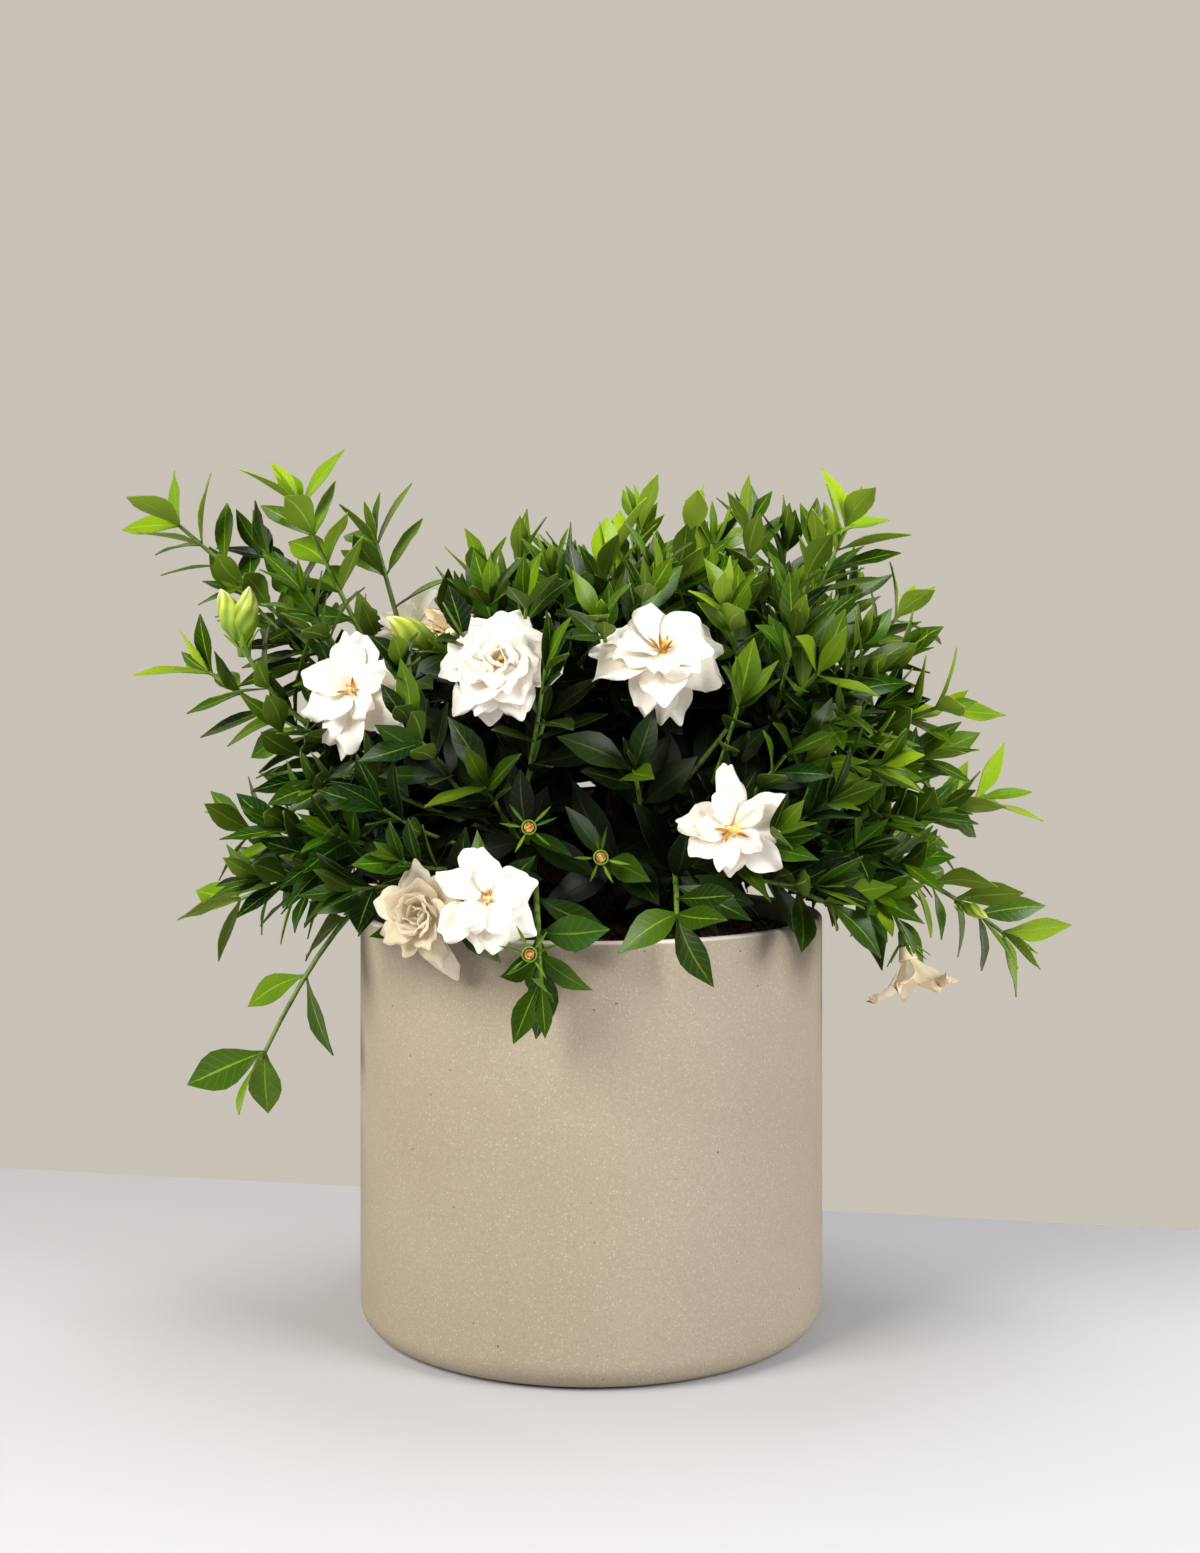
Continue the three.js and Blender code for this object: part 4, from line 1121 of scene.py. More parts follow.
def make_stems(name, routes, material, fineness=1):
    """Round tapering stems. Each route is (line, from, to, first radius, last radius), in mm."""
    deselect()
    bpy.ops.curve.primitive_bezier_curve_add()
    piece = bpy.context.object
    curve = piece.data
    curve.splines.clear()
    for line, start, end, first, last in routes:
        spline = curve.splines.new("BEZIER")
        spline.bezier_points.add(1)
        a, b = line.point(start), line.point(end)
        middle = a + (end - start) * line.slope(start)
        for knot, at, radius in zip(spline.bezier_points, (a, b), (first, last)):
            inward = (at + (middle - at) * 2 / 3) * mm
            knot.handle_left_type = knot.handle_right_type = "FREE"
            knot.co = at * mm
            knot.handle_left, knot.handle_right = (at * mm, inward) if at is a else (inward, at * mm)
            knot.radius = radius
    curve.dimensions = "3D"
    curve.bevel_depth = 1 * mm
    curve.bevel_resolution = fineness
    curve.resolution_u = 8
    curve.use_fill_caps = True
    only(piece)
    bpy.ops.object.convert(target="MESH")
    piece = bpy.context.object
    piece.name = name
    piece.data.materials.clear()
    piece.data.materials.append(material)
    bpy.ops.object.shade_smooth()
    return piece


# %% [markdown]
# ## More leaves
#
# The solids carry as many leaves as they can afford. A real gardenia is denser: more leaves stand
# between its whorls, a tuft of slim young ones closes each tip, and the dome is filled by many short
# shoots that spring from the limbs. They grow by the same rule, into the room that is left. They stay
# off the blooms, and off a window at the front right through which the soil shows.

# %% How a leaf looks
crown_middle = np.array([6.0, -4.0, 318.0])
crown_reach = np.array([200.0, 160.0, 176.0])
crown_boxiness = 2.6  # 2 would be a round dome
light_from = np.array([0.1, -0.55, 0.5])
roll_share, most_roll = 0.6, 1.5  # of the roll that would face the light; at most, in radians
# These two set the painted shade on leaves: the share of the dome over which it deepens, and how dark it is
# in the dome's middle.
open_depth, deepest_painted_shade = 0.3, 0.92  # share of the dome that light reaches; `inner` in its middle


def crown_share(point):
    """How far out a point lies in the dome: 0 at its middle and 1 at its surface."""
    shares = abs((point - crown_middle) / crown_reach)
    return (shares**crown_boxiness).sum() ** (1 / crown_boxiness)


def look(leaf, young, narrow=1.0):
    """Gives a leaf its age, tone and painted shade, and rolls it towards the light."""
    middle = leaf["root"] + leaf["run"] * leaf["size"] / 2
    light = unit(middle - crown_middle) + light_from
    roll = math.atan2(-light @ leaf["width"], light @ leaf["face"])
    roll = roll_share * float(np.clip(roll, -most_roll, most_roll)) + rng.normal(0, 0.28)
    # The top and both sides of the shrub are out in the open, and its front is half in the open.
    # Leaves that are neither, or that lie deep, get painted shade.
    outer = max((middle[2] - 350) / 130, (abs(middle[0]) - 110) / 90, min(0.5, (-middle[1] - 105) / 60))
    outer = float(np.clip(outer, 0, 1))
    inner = float(np.clip((1.0 - crown_share(middle)) / open_depth, 0, 1))
    inner = deepest_painted_shade * min(1, max(inner, 0.8 * (1 - outer) * rng.uniform(0.6, 1.25)))
    young = float(np.clip(young + rng.normal(0, 0.15), 0, 1)) * (1 - inner)
    leaf.update(young=young, tone=rng.beta(0.8, 0.9), inner=inner, roll=roll,
                narrow=narrow * rng.uniform(0.95, 1.25), widest=rng.uniform(0.9, 1.25))
    return leaf


few_rows = ball_rows[::2]  # enough for the small leaves that are added here
golden_turn = math.pi * (3 - math.sqrt(5))
tuft_leaves = 4


def further_leaf(line, t, turn, pitch, size, owner, share=0.055, arch=None, tries=6):
    """One more leaf where there is room for it, or None."""
    arch = rng.uniform(0.03, 0.2) if arch is None else arch
    for attempt in range(tries):
        swing = 0.1 + attempt * 0.07
        leaf = leaf_frame(line, t, turn + rng.uniform(-2, 2) * swing,
                          pitch + rng.uniform(-1, 1) * swing, size, arch)
        spots = leaf_point(leaf, *few_rows.T)
        if not in_window(spots) and is_free(spots, size * share, owner):
            take(spots, size * share, LEAF)
            return leaf
    return None


def tuft(line, young, owner):
    """The slim upright young leaves that close a tip."""
    start = rng.uniform(0, full_turn)
    for i in range(tuft_leaves):
        size = leaf_length * rng.uniform(0.45, 0.8)
        pitch = (10 + 6 * i) * degree
        leaf = further_leaf(line, 0.995, start + i * golden_turn, pitch, size, owner, 0.045,
                            rng.uniform(-0.05, 0.08))
        if leaf:
            yield look(leaf, young * 0.9 + 0.3, 0.85)


# %% Keep the blooms and the soil in sight
# Balls that stay empty stand in a row in front of each flower.
toward_camera = np.array([0.0, -1.0, 0.08])
bud_size = 11
windows = []  # rows of x, y, z and radius
for row in shoots:
    if row.get("facing"):
        flower, size = flower_frame(row["tip"], row["facing"]), row.get("size", bud_size)
        for ahead in (0.4, 1.0, 1.7, 2.5, 3.4):
            spot = flower["centre"] + flower["front"] * size * 0.4 + toward_camera * size * ahead
            windows.append((*spot, size * 0.82))
            if row.get("bloom"):
                windows.append((*(spot - up * size * 0.75), size * 0.55))
before_blooms = np.array(windows)
for x in range(-10, 118, 12):  # over the soil at the front right, along the camera's line of sight
    windows += [(x, y, 262 - (y + 20) * 0.1, 10) for y in range(-170, -29, 20)]
windows = np.array(windows)


def in_window(points, rows=windows, least=1):
    """Whether at least so many of the points lie in a window."""
    inside = ((points[:, None] - rows[None, :, :3]) ** 2).sum(2) < rows[:, 3] ** 2
    return inside.any(axis=1).sum() >= least


# %% Leaves between the whorls
# The long shoot that hangs at the left stays bare, and its leaves are larger.
bare_shoot, bare_growth = "left_hanging", 1.25
for number, row in enumerate(shoots):
    bare = row["name"] == bare_shoot
    for part in stems_of(row):
        if bare:
            part["leaves"] = [{**leaf, "size": leaf["size"] * bare_growth} for leaf in part["leaves"]]
        kept = [leaf for leaf in part["leaves"]
                if not in_window(leaf_point(leaf, *few_rows.T), before_blooms, 3)]
        part["leaves"] = [look(leaf, row["young"] * (0.25 + 1.1 * leaf["share"] ** 1.5)) for leaf in kept]
        if bare:
            continue
        line, top_level = part["line"], len(part["whorls"]) - 1
        for level in range(-1, top_level):
            share = max(0, (level + 0.5) / max(1, top_level))
            t = max(0.35, part["green_from"] - 0.12) if level < 0 else along_green(part, share)
            start = rng.uniform(0, full_turn)
            for i in range(3):
                size = leaf_length * rng.uniform(0.7, 1.0)
                turn = start + i * full_turn / 3
                leaf = further_leaf(line, t, turn, leaf_pitch(share), size, number)
                if leaf:
                    part["leaves"].append(look(leaf, row["young"] * (0.25 + share)))
        if not part.get("facing"):
            part["leaves"] += tuft(line, row["young"], number)
leaf_total = sum(len(part["leaves"]) for row in shoots for part in stems_of(row))
print(leaf_total, "leaves on the plan's shoots")

# %% [markdown]
# ## Short shoots that fill the dome
#
# Their tips are spread evenly over the dome by turning each one on by the golden angle, in three
# shells. A few more fill its shoulders and the outer branches, where the real one is thick.

# %% Short shoots
shells = ((0.93, 150, -0.2), (0.72, 80, -0.1), (0.48, 30, 0.0))  # reach, tips, and how low it starts
shoulders = (
    (140, -20, 496), (186, -10, 466), (150, 30, 478), (120, -44, 470), (192, -30, 430),
    (165, -60, 448), (60, -30, 510), (104, -8, 509), (34, 12, 516), (84, 34, 504),
    (126, 8, 500), (4, -20, 494), (20, -8, 504),
    (-72, -10, 468), (-102, 12, 456), (-36, -20, 474), (-60, 40, 462), (-20, 30, 474), (20, -40, 480),
    (212, -30, 366), (206, 20, 388), (222, 0, 330), (204, -52, 330), (196, -62, 300), (214, 22, 300),
    (-226, 12, 470), (-184, -44, 468), (-216, 20, 498), (-168, 0, 496), (-168, -40, 440), (-152, -40, 512),
    (-200, -50, 292), (-214, 10, 296), (-190, -62, 322), (-182, -72, 296), (196, -10, 452), (176, 40, 470),
)


def dome_tips():
    """The tips that short shoots reach for."""
    for reach, count, lowest in shells:
        for i in range(count):
            z = 1 - (1 - lowest) * (i + 0.5) / count
            out, turn = math.sqrt(1 - z * z), i * golden_turn
            direction = np.array([out * math.cos(turn), out * math.sin(turn), z])
            direction /= (abs(direction) ** crown_boxiness).sum() ** (1 / crown_boxiness)
            yield crown_middle + crown_reach * direction * (reach + rng.uniform(-0.05, 0.05))
    for tip in shoulders:
        yield np.array(tip, float) + rng.uniform(-4, 4, 3)


fork_places = (0.45, 0.6, 0.75, 0.9, 1)  # on a limb
shortest_shoot, longest_green, least_tip_gap = 28, 85, 21
short_levels = 6


def short_shoot(tip, owner):
    """A leafy shoot from the nearest limb to this tip, or None where it has no way there."""
    length, limb_number, t = min((np.linalg.norm(limb.point(t) - tip), i, t)
                                 for i, limb in enumerate(limb_lines) for t in fork_places)
    start = limb_lines[limb_number].point(t)
    sag = up * rng.uniform(0.02, 0.12) * length
    line = Bend(start, start + (tip - start) * 0.6 - sag, tip)
    path = np.array([line.point(s) for s in np.linspace(0.4, 1, 10)])
    if length < shortest_shoot or in_window(path):
        return None
    take(path, 2.2, owner)
    green_from = max(0.15, 1 - longest_green / length)
    # Leaves are more yellow-green towards the top and the right of the shrub, and one shoot in three is
    # old throughout.
    young = max(0.0, 0.06 + 0.5 * (tip[2] - 330) / 180 + 0.25 * (tip[0] - 100) / 120)
    young *= rng.choice((0.05, 0.5, 1.6))
    leaves = []
    for level in range(short_levels):
        share = level / (short_levels - 1)
        at = green_from + (0.98 - green_from) * share
        start = rng.uniform(0, full_turn)
        for i in range(3):
            size = leaf_length * rng.uniform(0.78, 1.08) * (1 - 0.2 * share)
            turn = start + i * full_turn / 3
            leaf = further_leaf(line, at, turn, (70 - 44 * share) * degree, size, owner, 0.046)
            if leaf:
                leaves.append(look(leaf, young * (0.3 + 0.9 * share)))
    leaves += tuft(line, young, owner)
    return {"limb": limb_number, "line": line, "green_from": green_from, "leaves": leaves}


tips = [np.array(part["tip"], float) for row in shoots for part in stems_of(row)]
short_shoots = []
for tip in dome_tips():
    low_inside = math.hypot(tip[0], tip[1]) < pot_radius + 8 and tip[2] < soil_top + 30
    in_hollow = abs(tip[0]) < 105 and tip[1] < -60 and tip[2] < 395  # the open front, under the blooms
    if low_inside or in_hollow or min(np.linalg.norm(tip - other) for other in tips) < least_tip_gap:
        continue
    made = short_shoot(tip, 1000 + len(short_shoots))
    if made:
        tips.append(tip)
        short_shoots.append(made)
print(len(short_shoots), "short shoots with", sum(len(s["leaves"]) for s in short_shoots), "leaves;",
      ball_count[0], "balls")

# %% [markdown]
# ## Dressing a leaf
#
# The outline is one smooth curve that swells to the leaf's middle and narrows to a drawn-out tip.
# The blade folds up from the midrib, arches down to its tip, twists a little and waves along its
# edges. It is 0.9 mm thick at the midrib and half that at the edge.

# %% Lay a leaf


def leaf_width(v, widest=0.95):
    """A leaf's width along it, as a share of its widest. `widest` moves the broadest place."""
    return np.maximum(np.sin(np.pi * np.clip(v, 0, 1) ** widest), 0) ** 1.2


def dress_leaf(leaf):
    """A copy of the leaf form, bent and waved, in a leaf's place."""
    u, v, side = leaf_places
    size, roll = leaf["size"], leaf["roll"]
    half = size * leaf_slimness * leaf["narrow"] * leaf_width(v, leaf["widest"]) / 2
    across = leaf["width"] * math.cos(roll) + leaf["face"] * math.sin(roll)
    face = leaf["face"] * math.cos(roll) - leaf["width"] * math.sin(roll)
    wave = np.sin(v * rng.uniform(7, 12) + rng.uniform(0, 6)) * rng.uniform(0.005, 0.025) * size
    fold = 0.17 * abs(u) ** 1.3 * half
    arch = leaf["arch"] * size * v * v
    twist = rng.normal(0, 0.18) * v * u * half
    thickness = side * (0.22 + 0.25 * (1 - abs(u)))
    rise = fold - arch + wave * u * abs(u) * v * (1 - v) * 3 + twist + thickness
    bow = rng.normal(0, 0.035) * size * np.sin(np.pi * v)
    points = (leaf["root"] + np.outer(size * v, leaf["run"]) + np.outer(u * half + bow, across)
              + np.outer(rise, face))
    kept = {key: leaf[key] for key in ("tone", "young", "inner")}
    return copy_form(leaf_form, points, leaf_skin, **kept)


# %% Lay a blade round a flower's middle


def blade_on(flower, turn, ahead, rise, long, wide, curl, material, young=0.6, out_from=3.0):
    """A slim pointed blade, such as a sepal or an anther. `ahead` and `out_from` give its root."""
    u, v, side = leaf_places
    out, run, face = spoke(flower, turn, rise)
    half = wide / 2 * leaf_width(v)
    rise = curl * long * v * v + 0.3 * u * u * half + side * 0.3
    points = (flower["centre"] + out * out_from + flower["front"] * ahead + np.outer(long * v, run)
              + np.outer(u * half, np.cross(run, face)) + np.outer(rise, face))
    return copy_form(leaf_form, points, material, tone=rng.uniform(0, 1), young=young)


def ring_of_blades(flower, count, *shape, jitter=0.0, **more):
    """Blades spread evenly round a flower's middle."""
    for i in range(count):
        turn = (i + rng.uniform(-1, 1) * jitter) * full_turn / count
        yield blade_on(flower, turn, *shape, **more)


# %% [markdown]
# ## The leafy shoots
#
# Each shoot of the plan is one piece: its green stem, its leaves, and what sits at its tip. That is a
# calyx with six slim sepals behind a bloom or a bud, or the star that is left where a flower has
# dropped: sepals round a small cup with a brown scar, dry and grainy. The older part of every stem
# is wood.

# %% The scar
scar = new_material("dry_flower_scar", roughness=0.8)
_, scar_colour = mottle(scar, 700, 2, [(0.35, "6e3716"), (0.65, "cf9a57")])
finish_with(scar, base_color=scar_colour)

# %% Dress the shoots
# The radii, in mm, are at a stem's start and end.
shoot_radius, woody_radius, limb_radius, twig_radius = (2.1, 1.4), (3.2, 2.3), (6, 4.2), (2.4, 1.7)
short_radius = (1.7, 1.1)
stray_stars = {"front_hanging": [((-34, -186, 262), (-0.1, -0.98, 0.15))]}
stray_buds = {"right_low": [((236, -30, 272), (0.75, -0.5, -0.35), 0.6)]}


def star(flower):
    """The calyx that is left where a flower has dropped."""
    yield stand_form(cup_form, flower, -6, (4.6, 4.6, 7), bud_skin, young=0.25, tone=0.4)
    yield stand_form(cup_form, flower, -0.7, (2.8, 2.8, 2.2), scar)
    yield from ring_of_blades(flower, 6, -1, 14, 17, 1.9, 0.5, leaf_skin, young=0.3, jitter=0.35)


def bud_pieces(flower, size=1.0):
    """A furled bud on its calyx."""
    yield stand_form(bud_form, flower, 0, size, bud_skin)
    yield stand_form(cup_form, flower, -7 * size, (3.8 * size, 3.8 * size, 9 * size), bud_skin)
    yield from ring_of_blades(flower, 6, -3, 62, 13 * size, 2 * size, 0.0, leaf_skin, young=0.8)


woody_routes = [(limb, 0, 1, *limb_radius) for limb in limb_lines]
for row in shoots:
    name = row["name"]
    routes = [(row["line"], row["green_from"], 1, *shoot_radius)]
    routes += [(side["line"], 0, 1, *shoot_radius) for side in row["branches"]]
    woody_routes.append((row["line"], 0, row["green_from"] + 0.01, *woody_radius))
    pieces = [make_stems("stem", routes, green_stem)]
    pieces += [dress_leaf(leaf) for part in stems_of(row) for leaf in part["leaves"]]
    if row.get("bloom"):
        flower = flower_frame(row["tip"], row["facing"])
        pieces.append(stand_form(cup_form, flower, -bloom_tube, (4.2, 4.2, 10), green_stem))
        pieces += ring_of_blades(flower, 6, -10, 40, 17, 2.4, 0.1, leaf_skin)
    for i in range(row.get("buds", 0)):
        x, y, z = row["facing"]
        pieces += bud_pieces(flower_frame(row["tip"], (x + 0.5 * i, y - 0.12 * i, z)), 1.15)
    if row.get("calyx"):
        pieces += star(flower_frame(row["tip"], row["facing"]))
    for spot, facing in stray_stars.get(name, ()):
        pieces += star(flower_frame(spot, facing))
    for spot, facing, size in stray_buds.get(name, ()):
        pieces += bud_pieces(flower_frame(spot, facing), size)
    piece = join("leafy_" + name, pieces)
    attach(piece, "root")
    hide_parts("shoot_" + name)
print(len(shoots), "leafy shoots")

# %% Dress the short shoots
for limb_number in range(len(limb_lines)):
    here = [made for made in short_shoots if made["limb"] == limb_number]
    if not here:
        continue
    routes = [(made["line"], made["green_from"], 1, *short_radius) for made in here]
    woody_routes += [(made["line"], 0, made["green_from"] + 0.01, *twig_radius) for made in here]
    leaves = [dress_leaf(leaf) for made in here for leaf in made["leaves"]]
    piece = join(f"dome_leaves_{limb_number + 1}", [make_stems("stem", routes, green_stem), *leaves])
    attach(piece, "root")
    print(piece.name, len(leaves), "leaves")

# %% [markdown]
# ## The wood
#
# The trunk, the limbs and the older part of every shoot grew as one piece, so they are splines of
# one curve. The trunk runs down into the soil.

# %% The woody stems
trunk_radius = 12
trunk = Bend((0, 0, soil_top - 12), (0, 0, trunk_top - 5), (0, 0, trunk_top + 2))
woody_routes.append((trunk, 0, 1, trunk_radius, trunk_radius - 2))
wood = make_stems("woody_branches", woody_routes, bark, 2)
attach(wood, "root")
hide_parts("woody_stems")
print(len(woody_routes), "woody stems,", len(wood.data.polygons), "faces")

# %% [markdown]
# ## Petal finishes
#
# A gardenia petal is thick and waxy, white when it opens and cream as it ages, and greenish in the
# bud. A little light goes into it and comes out warm, and a faint warm glow of its own, a painted
# light, lifts its shaded folds so that they don't look grey. A withered one is tan and dry, browner
# along its edge, with wrinkles a few millimetres apart.
# Anthers are dry and powdery, yellow at their root and orange-brown at their tip, and the style is
# waxy and egg-yellow, with a finely grained tip.

# %% Petal skin
# The emission is painted light: a faint warm glow that lightens the petals' shade.
petal_skin = new_material("waxy_white_petal", roughness=0.48, ior=1.42, subsurface_weight=0.4,
                          subsurface_scale=0.004, subsurface_radius=(1.0, 0.85, 0.7),
                          emission_color=srgb("ffe6bd"), emission_strength=0.048)
uv = add_node(petal_skin, "TexCoord")["UV"]
along = add_node(petal_skin, "SeparateXYZ", {0: uv})[1]
age = add_node(petal_skin, "Attribute", attribute_name="young")["Fac"]
fresh = add_node(petal_skin, "Attribute", attribute_name="inner")["Fac"]
claw = add_node(petal_skin, "MapRange", {0: along, 1: 0.0, 2: 0.35, 3: 0.5, 4: 0.0})[0]
place = add_node(petal_skin, "TexCoord")["Object"]
blotches = add_node(petal_skin, "TexNoise", {"Vector": place, "Scale": 90, "Detail": 2})[0]
blotches = add_node(petal_skin, "MapRange", {0: blotches, 1: 0.5, 2: 0.8, 3: 0.0, 4: 0.3})[0]
white = srgb("fffaf0")
for share, colour in ((age, "c6b698"), (fresh, "dce39a"), (claw, "ebdca4"), (blotches, "f3e6cb")):
    white = add_node(petal_skin, "Mix", {0: share, 6: white, 7: srgb(colour)}, data_type="RGBA")[2]
rib_links = {"Vector": uv, "Scale": 4.5, "Distortion": 1.5, "Detail": 1}
ribs = add_node(petal_skin, "TexWave", rib_links, bands_direction="X")[1]
bump = add_node(petal_skin, "Bump", {"Height": ribs, "Strength": 0.18, "Distance": 0.4 * mm})[0]
finish_with(petal_skin, base_color=white, normal=bump)

# %% Withered petal
dry_petal = new_material("withered_petal", roughness=0.7)
along = add_node(dry_petal, "SeparateXYZ", {0: add_node(dry_petal, "TexCoord")["UV"]})[1]
age = add_node(dry_petal, "Attribute", attribute_name="young")["Fac"]
place = add_node(dry_petal, "TexCoord")["Object"]
wrinkles = add_node(dry_petal, "TexNoise", {"Vector": place, "Scale": 260, "Detail": 4})[0]
rim = add_node(dry_petal, "MapRange", {0: along, 1: 0.75, 2: 1.0})[0]
patchy = add_node(dry_petal, "MapRange", {0: wrinkles, 1: 0.35, 2: 0.65})[0]
rim = add_node(dry_petal, "Math", {0: rim, 1: patchy}, operation="MULTIPLY")[0]
spots = add_node(dry_petal, "MapRange", {0: wrinkles, 1: 0.66, 2: 0.74, 3: 0.0, 4: 0.5})[0]
tan = srgb("f3e8cd")
for share, colour in ((age, "d8b277"), (rim, "cf9a5c"), (spots, "94612f")):
    tan = add_node(dry_petal, "Mix", {0: share, 6: tan, 7: srgb(colour)}, data_type="RGBA")[2]
bump = add_node(dry_petal, "Bump", {"Height": wrinkles, "Strength": 0.5, "Distance": 0.8 * mm})[0]
finish_with(dry_petal, base_color=tan, normal=bump)

# %% Pollen
pollen = new_material("pollen_dusted_anther", roughness=0.65)
along = add_node(pollen, "SeparateXYZ", {0: add_node(pollen, "TexCoord")["UV"]})[1]
pollen_colour = add_node(pollen, "ValToRGB", {0: along},
                         stops=[(0.0, "f0c968"), (0.45, "d08a2c"), (1.0, "74431a")])[0]
finish_with(pollen, base_color=pollen_colour)

# %% Style
style_skin = new_material("waxy_yellow_style", roughness=0.45)
_, style_colour = mottle(style_skin, 900, 2, [(0.35, "cf9a35"), (0.65, "f3d67f")])
finish_with(style_skin, base_color=style_colour)

# %% [markdown]
# ## Blooms
#
# A petal is narrow at its claw, broadest past its middle, and rounded or pointed at its end, with
# edges that ruffle and roll back. The outer two layers lie where the frame's petals do. The rest is
# added here: inner layers, which make a rosette in a double bloom, and the few long or drooping
# petals that give each bloom on this plant its own outline.

# %% Lay a petal
# Each inner layer has a count of petals, and then what `layer_keys` names.
layer_keys = ("height", "rise", "long", "wide", "curl")
inner_layers = {
    "open": [(4, 1.4, 24, 0.72, 0.68, -0.1)],
    "double": [(5, 1.4, 20, 0.86, 0.84, -0.1), (5, 2.4, 38, 0.64, 0.7, 0.0), (4, 3.2, 58, 0.42, 0.54, 0.15),
               (3, 3.6, 74, 0.28, 0.4, 0.3)],
    "rose": [(5, 2.0, 34, 0.8, 0.8, -0.05), (5, 3.0, 58, 0.56, 0.56, 0.15), (4, 3.4, 72, 0.42, 0.42, 0.28),
             (3, 3.6, 80, 0.32, 0.3, 0.4)],
    "thin": [],
    "withered": [],
}
claw_width, broadest = 0.2, 0.6  # shares of a petal's width and length


def petal_width(v, point):
    """A petal's width along it, ending round where `point` is 0 and pointed where it is 1."""
    rising = claw_width + (1 - claw_width) * np.sin(np.minimum(v / broadest, 1) * np.pi / 2)
    past = np.maximum(v - broadest, 0) / (1 - broadest)
    round_end = np.sqrt(np.clip(1 - (past * 0.84) ** 2, 0, 1))
    return rising * ((1 - point) * round_end + point * (1 - 0.82 * past**1.5))


def dress_petal(petal, material, ruffle, point, **values):
    """A copy of the petal form in a petal's place, lobed, swayed, waved, and rolled at its edges."""
    u, v, side = petal_places
    long, wide = petal["long"], petal["half"]
    half = wide * petal_width(v, point)
    lobes = rng.uniform(0.02, 0.07) * np.sin(u * rng.uniform(2.5, 4.5) + rng.uniform(0, 6))
    along = long * v * (1 - (0.13 + 0.2 * point) * u**2 * v**2 + lobes * v**3)
    sway = rng.normal(0, 0.06) * long * v**2
    wave = np.sin(u * rng.uniform(2.2, 4.2) + rng.uniform(0, 6)) * v**2
    fine = np.sin(v * rng.uniform(7, 12) + rng.uniform(0, 6)) * u**2 * v
    roll = -rng.uniform(0.15, 0.75) * long * np.clip(v - 0.68, 0, 1) ** 1.5
    edge_roll = -rng.uniform(-0.1, 0.35) * wide * abs(u) ** 4 * v
    groove = -0.05 * long * (1 - abs(u)) ** 3 * np.sin(np.pi * v)
    rise = petal["curl"] * long * v * v + petal_cup * u * u * half + roll + edge_roll + groove
    rise = rise + ruffle * wide * (wave + 0.4 * fine) + side * (0.25 + 0.15 * (1 - v))
    points = (petal["root"] + np.outer(along, petal["run"]) + np.outer(u * half + sway, petal["width"])
              + np.outer(rise, petal["face"]))
    return copy_form(petal_form, points, material, **values)


# %% What sets each bloom apart
# `age` turns petals cream, and darker cream as painted shade on a bloom that sits in shade, and
# `fresh` greenish, `ruffle` waves their edges, `point` sharpens them, `slim` narrows them and
# `uneven` varies their length. Extra petals are turn and rise in degrees, then length and width as
# shares of the bloom's size.
bloom_looks = {
    "bloom_mid": {"ruffle": 0.18, "extra": [
        (262, -40, 1.16, 0.72), (290, -34, 1.05, 0.6), (236, -26, 0.95, 0.6), (12, -4, 1.12, 0.6),
        (338, -8, 1.1, 0.7), (168, 0, 1.05, 0.6),
    ]},
    "bloom_center": {"kind": "double", "age": 0.15, "ruffle": 0.1, "extra": [
        (2, 8, 1.14, 0.8), (224, -6, 1.08, 0.6), (254, -18, 1.05, 0.75), (290, 0, 1.0, 0.6),
        (70, 6, 1.0, 0.7), (115, 4, 1.0, 0.7),
    ]},
    "bloom_left": {"kind": "thin", "ruffle": 0.14, "extra": [
        (256, -10, 1.25, 0.6), (240, 0, 1.1, 0.55), (322, -4, 1.15, 0.55), (100, 8, 1.05, 0.7),
    ]},
    "bloom_low": {"point": 0.2, "ruffle": 0.12, "extra": [
        (322, 4, 1.02, 0.8), (262, 0, 0.98, 0.75), (88, 6, 0.98, 0.75), (10, 4, 1.0, 0.7),
    ]},
    # bloom_low_left sits in shade, so its high age is partly painted shade: a darker cream.
    "bloom_low_left": {"age": 0.9, "ruffle": 0.06, "extra": [
        (284, -24, 1.55, 0.85), (205, 0, 1.2, 0.7), (165, 4, 1.2, 0.8), (110, 6, 1.15, 0.7),
    ]},
    "bloom_right": {"kind": "thin", "age": 0.18, "slim": 0.85, "ruffle": 0.24, "point": 0.1,
                    "uneven": 0.2, "extra": [
        (96, 14, 1.05, 0.5), (166, 4, 1.12, 0.55), (4, 10, 1.0, 0.9),
    ]},
    "bloom_behind": {"kind": "open", "age": 0.05, "fresh": 0.15, "ruffle": 0.1, "extra": [
        (186, 4, 1.3, 0.8), (222, 0, 1.3, 0.8), (150, 12, 1.2, 0.7), (70, 40, 1.15, 0.6),
    ]},
    "bloom_hanging": {"age": 0.3, "ruffle": 0.4},
    "bloom_brown": {"age": 0.5, "ruffle": 0.45},
}
usual_looks = {"age": 0.08, "fresh": 0, "point": 0.0, "ruffle": 0.15, "slim": 1, "uneven": 0.07, "extra": ()}

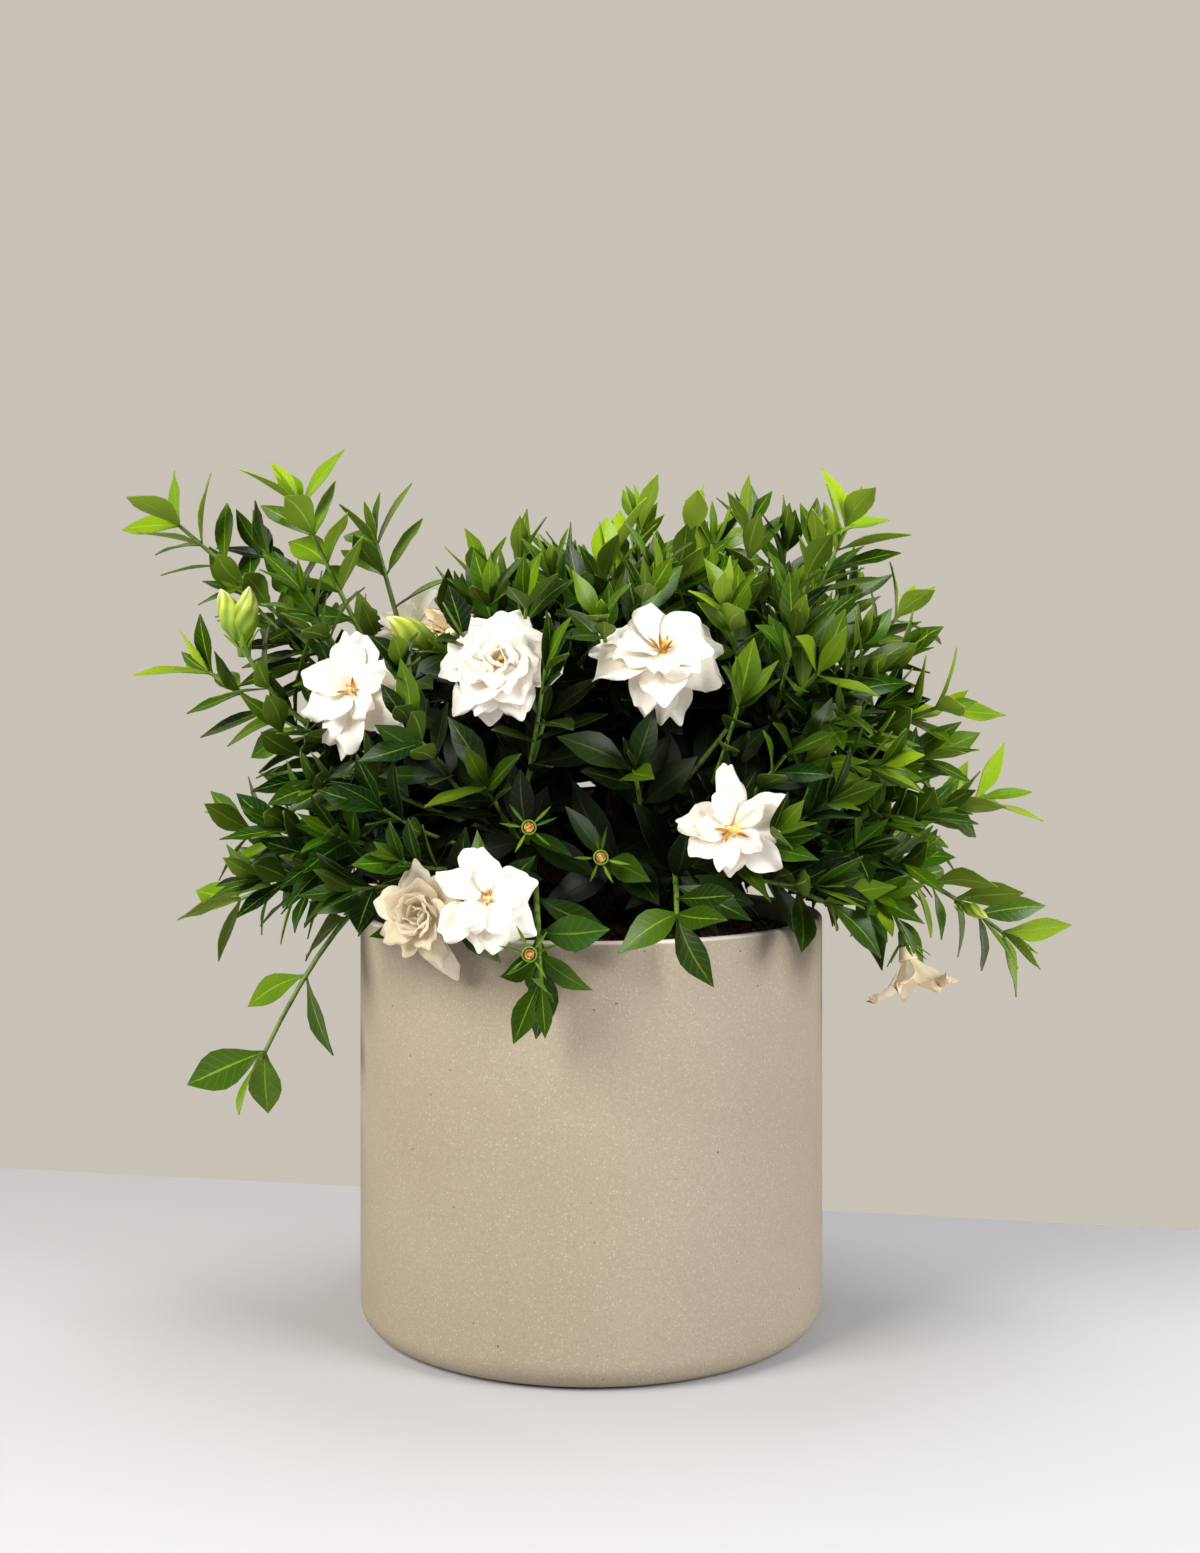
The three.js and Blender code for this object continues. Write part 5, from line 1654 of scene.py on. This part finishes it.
# %% Dress the blooms
for row in shoots:
    name = row["name"]
    if not row.get("bloom"):
        continue
    looks = {"kind": row["bloom"], **usual_looks, **bloom_looks[name]}
    kind = looks["kind"]
    withered = kind == "withered"
    skin = dry_petal if withered else petal_skin
    flower = flower_frame(row["tip"], row["facing"])
    petals = [{**petal, "half": petal["half"] * looks["slim"]} for petal in row["petals"]]
    for count, *shape in inner_layers[kind]:
        start = rng.uniform(0, full_turn)
        for i in range(count):
            turn = start + (i + rng.uniform(-0.15, 0.15)) * full_turn / count
            petals.append(petal_frame(flower, dict(zip(layer_keys, shape)), row["size"], turn))
    for turn, rise, long, wide in looks["extra"]:
        layer = dict(zip(layer_keys, (0.8, rise, long, wide, -0.1)))
        petals.append(petal_frame(flower, layer, row["size"], turn * degree))
    pieces = [stand_form(cup_form, flower, -9, (6.2, 6.2, 10.2), skin)]
    for petal in petals:
        petal["long"] *= 1 + looks["uneven"] * rng.uniform(-1, 1)
        age = np.clip(looks["age"] + rng.normal(0, 0.1), 0, 1)
        fresh = looks["fresh"] * rng.uniform(0.2, 1.2)
        point = np.clip(looks["point"] + rng.normal(0, 0.15), 0, 0.8)
        pieces.append(dress_petal(petal, skin, looks["ruffle"], point, young=age, inner=fresh))
    corolla = join("corolla_" + name, pieces)
    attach(corolla, "root")
    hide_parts(name + "_petals")
    print(name, len(petals), "petals")

# %% [markdown]
# ## Hearts
#
# In an open bloom the anthers stand as slim orange-brown straps round a thick yellow style. In a
# double one only a small yellow knot shows among the inner petals.

# %% Dress the hearts
# The style's length and radius, then the count, rise, length and width of the anthers.
hearts = {
    "bloom_mid": (8, 1.9, 8, 66, 10, 1.7),
    "bloom_left": (6, 1.5, 6, 44, 8.5, 1.4),
    "bloom_right": (12, 2.6, 5, 34, 11, 1.7),
    "bloom_center": (7, 1.3, 4, 76, 6, 1.4),
    "bloom_low": (4, 1.3, 4, 60, 4.5, 1.3),
}
for name, (length, radius, count, rise, long, wide) in hearts.items():
    row = next(row for row in shoots if row["name"] == name)
    flower = flower_frame(row["tip"], row["facing"])
    centre, front = flower["centre"], flower["front"]
    lean = flower["side"] * rng.uniform(0, 2.5)
    line = Bend(centre, centre + front * length * 0.6, centre + front * (length + 3) + lean)
    pieces = [make_stems("style", [(line, 0, 1, radius * 0.7, radius)], style_skin, 3)]
    for _ in range(count):
        pieces.append(blade_on(flower, rng.uniform(0, full_turn), 2.5, rise + rng.uniform(-14, 14),
                               long * rng.uniform(0.75, 1.15), wide, rng.uniform(-0.3, 0.1), pollen,
                               out_from=1.6))
    heart = join("heart_" + name, pieces)
    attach(heart, "root")
    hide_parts(name + "_heart")
print(len(hearts), "hearts")
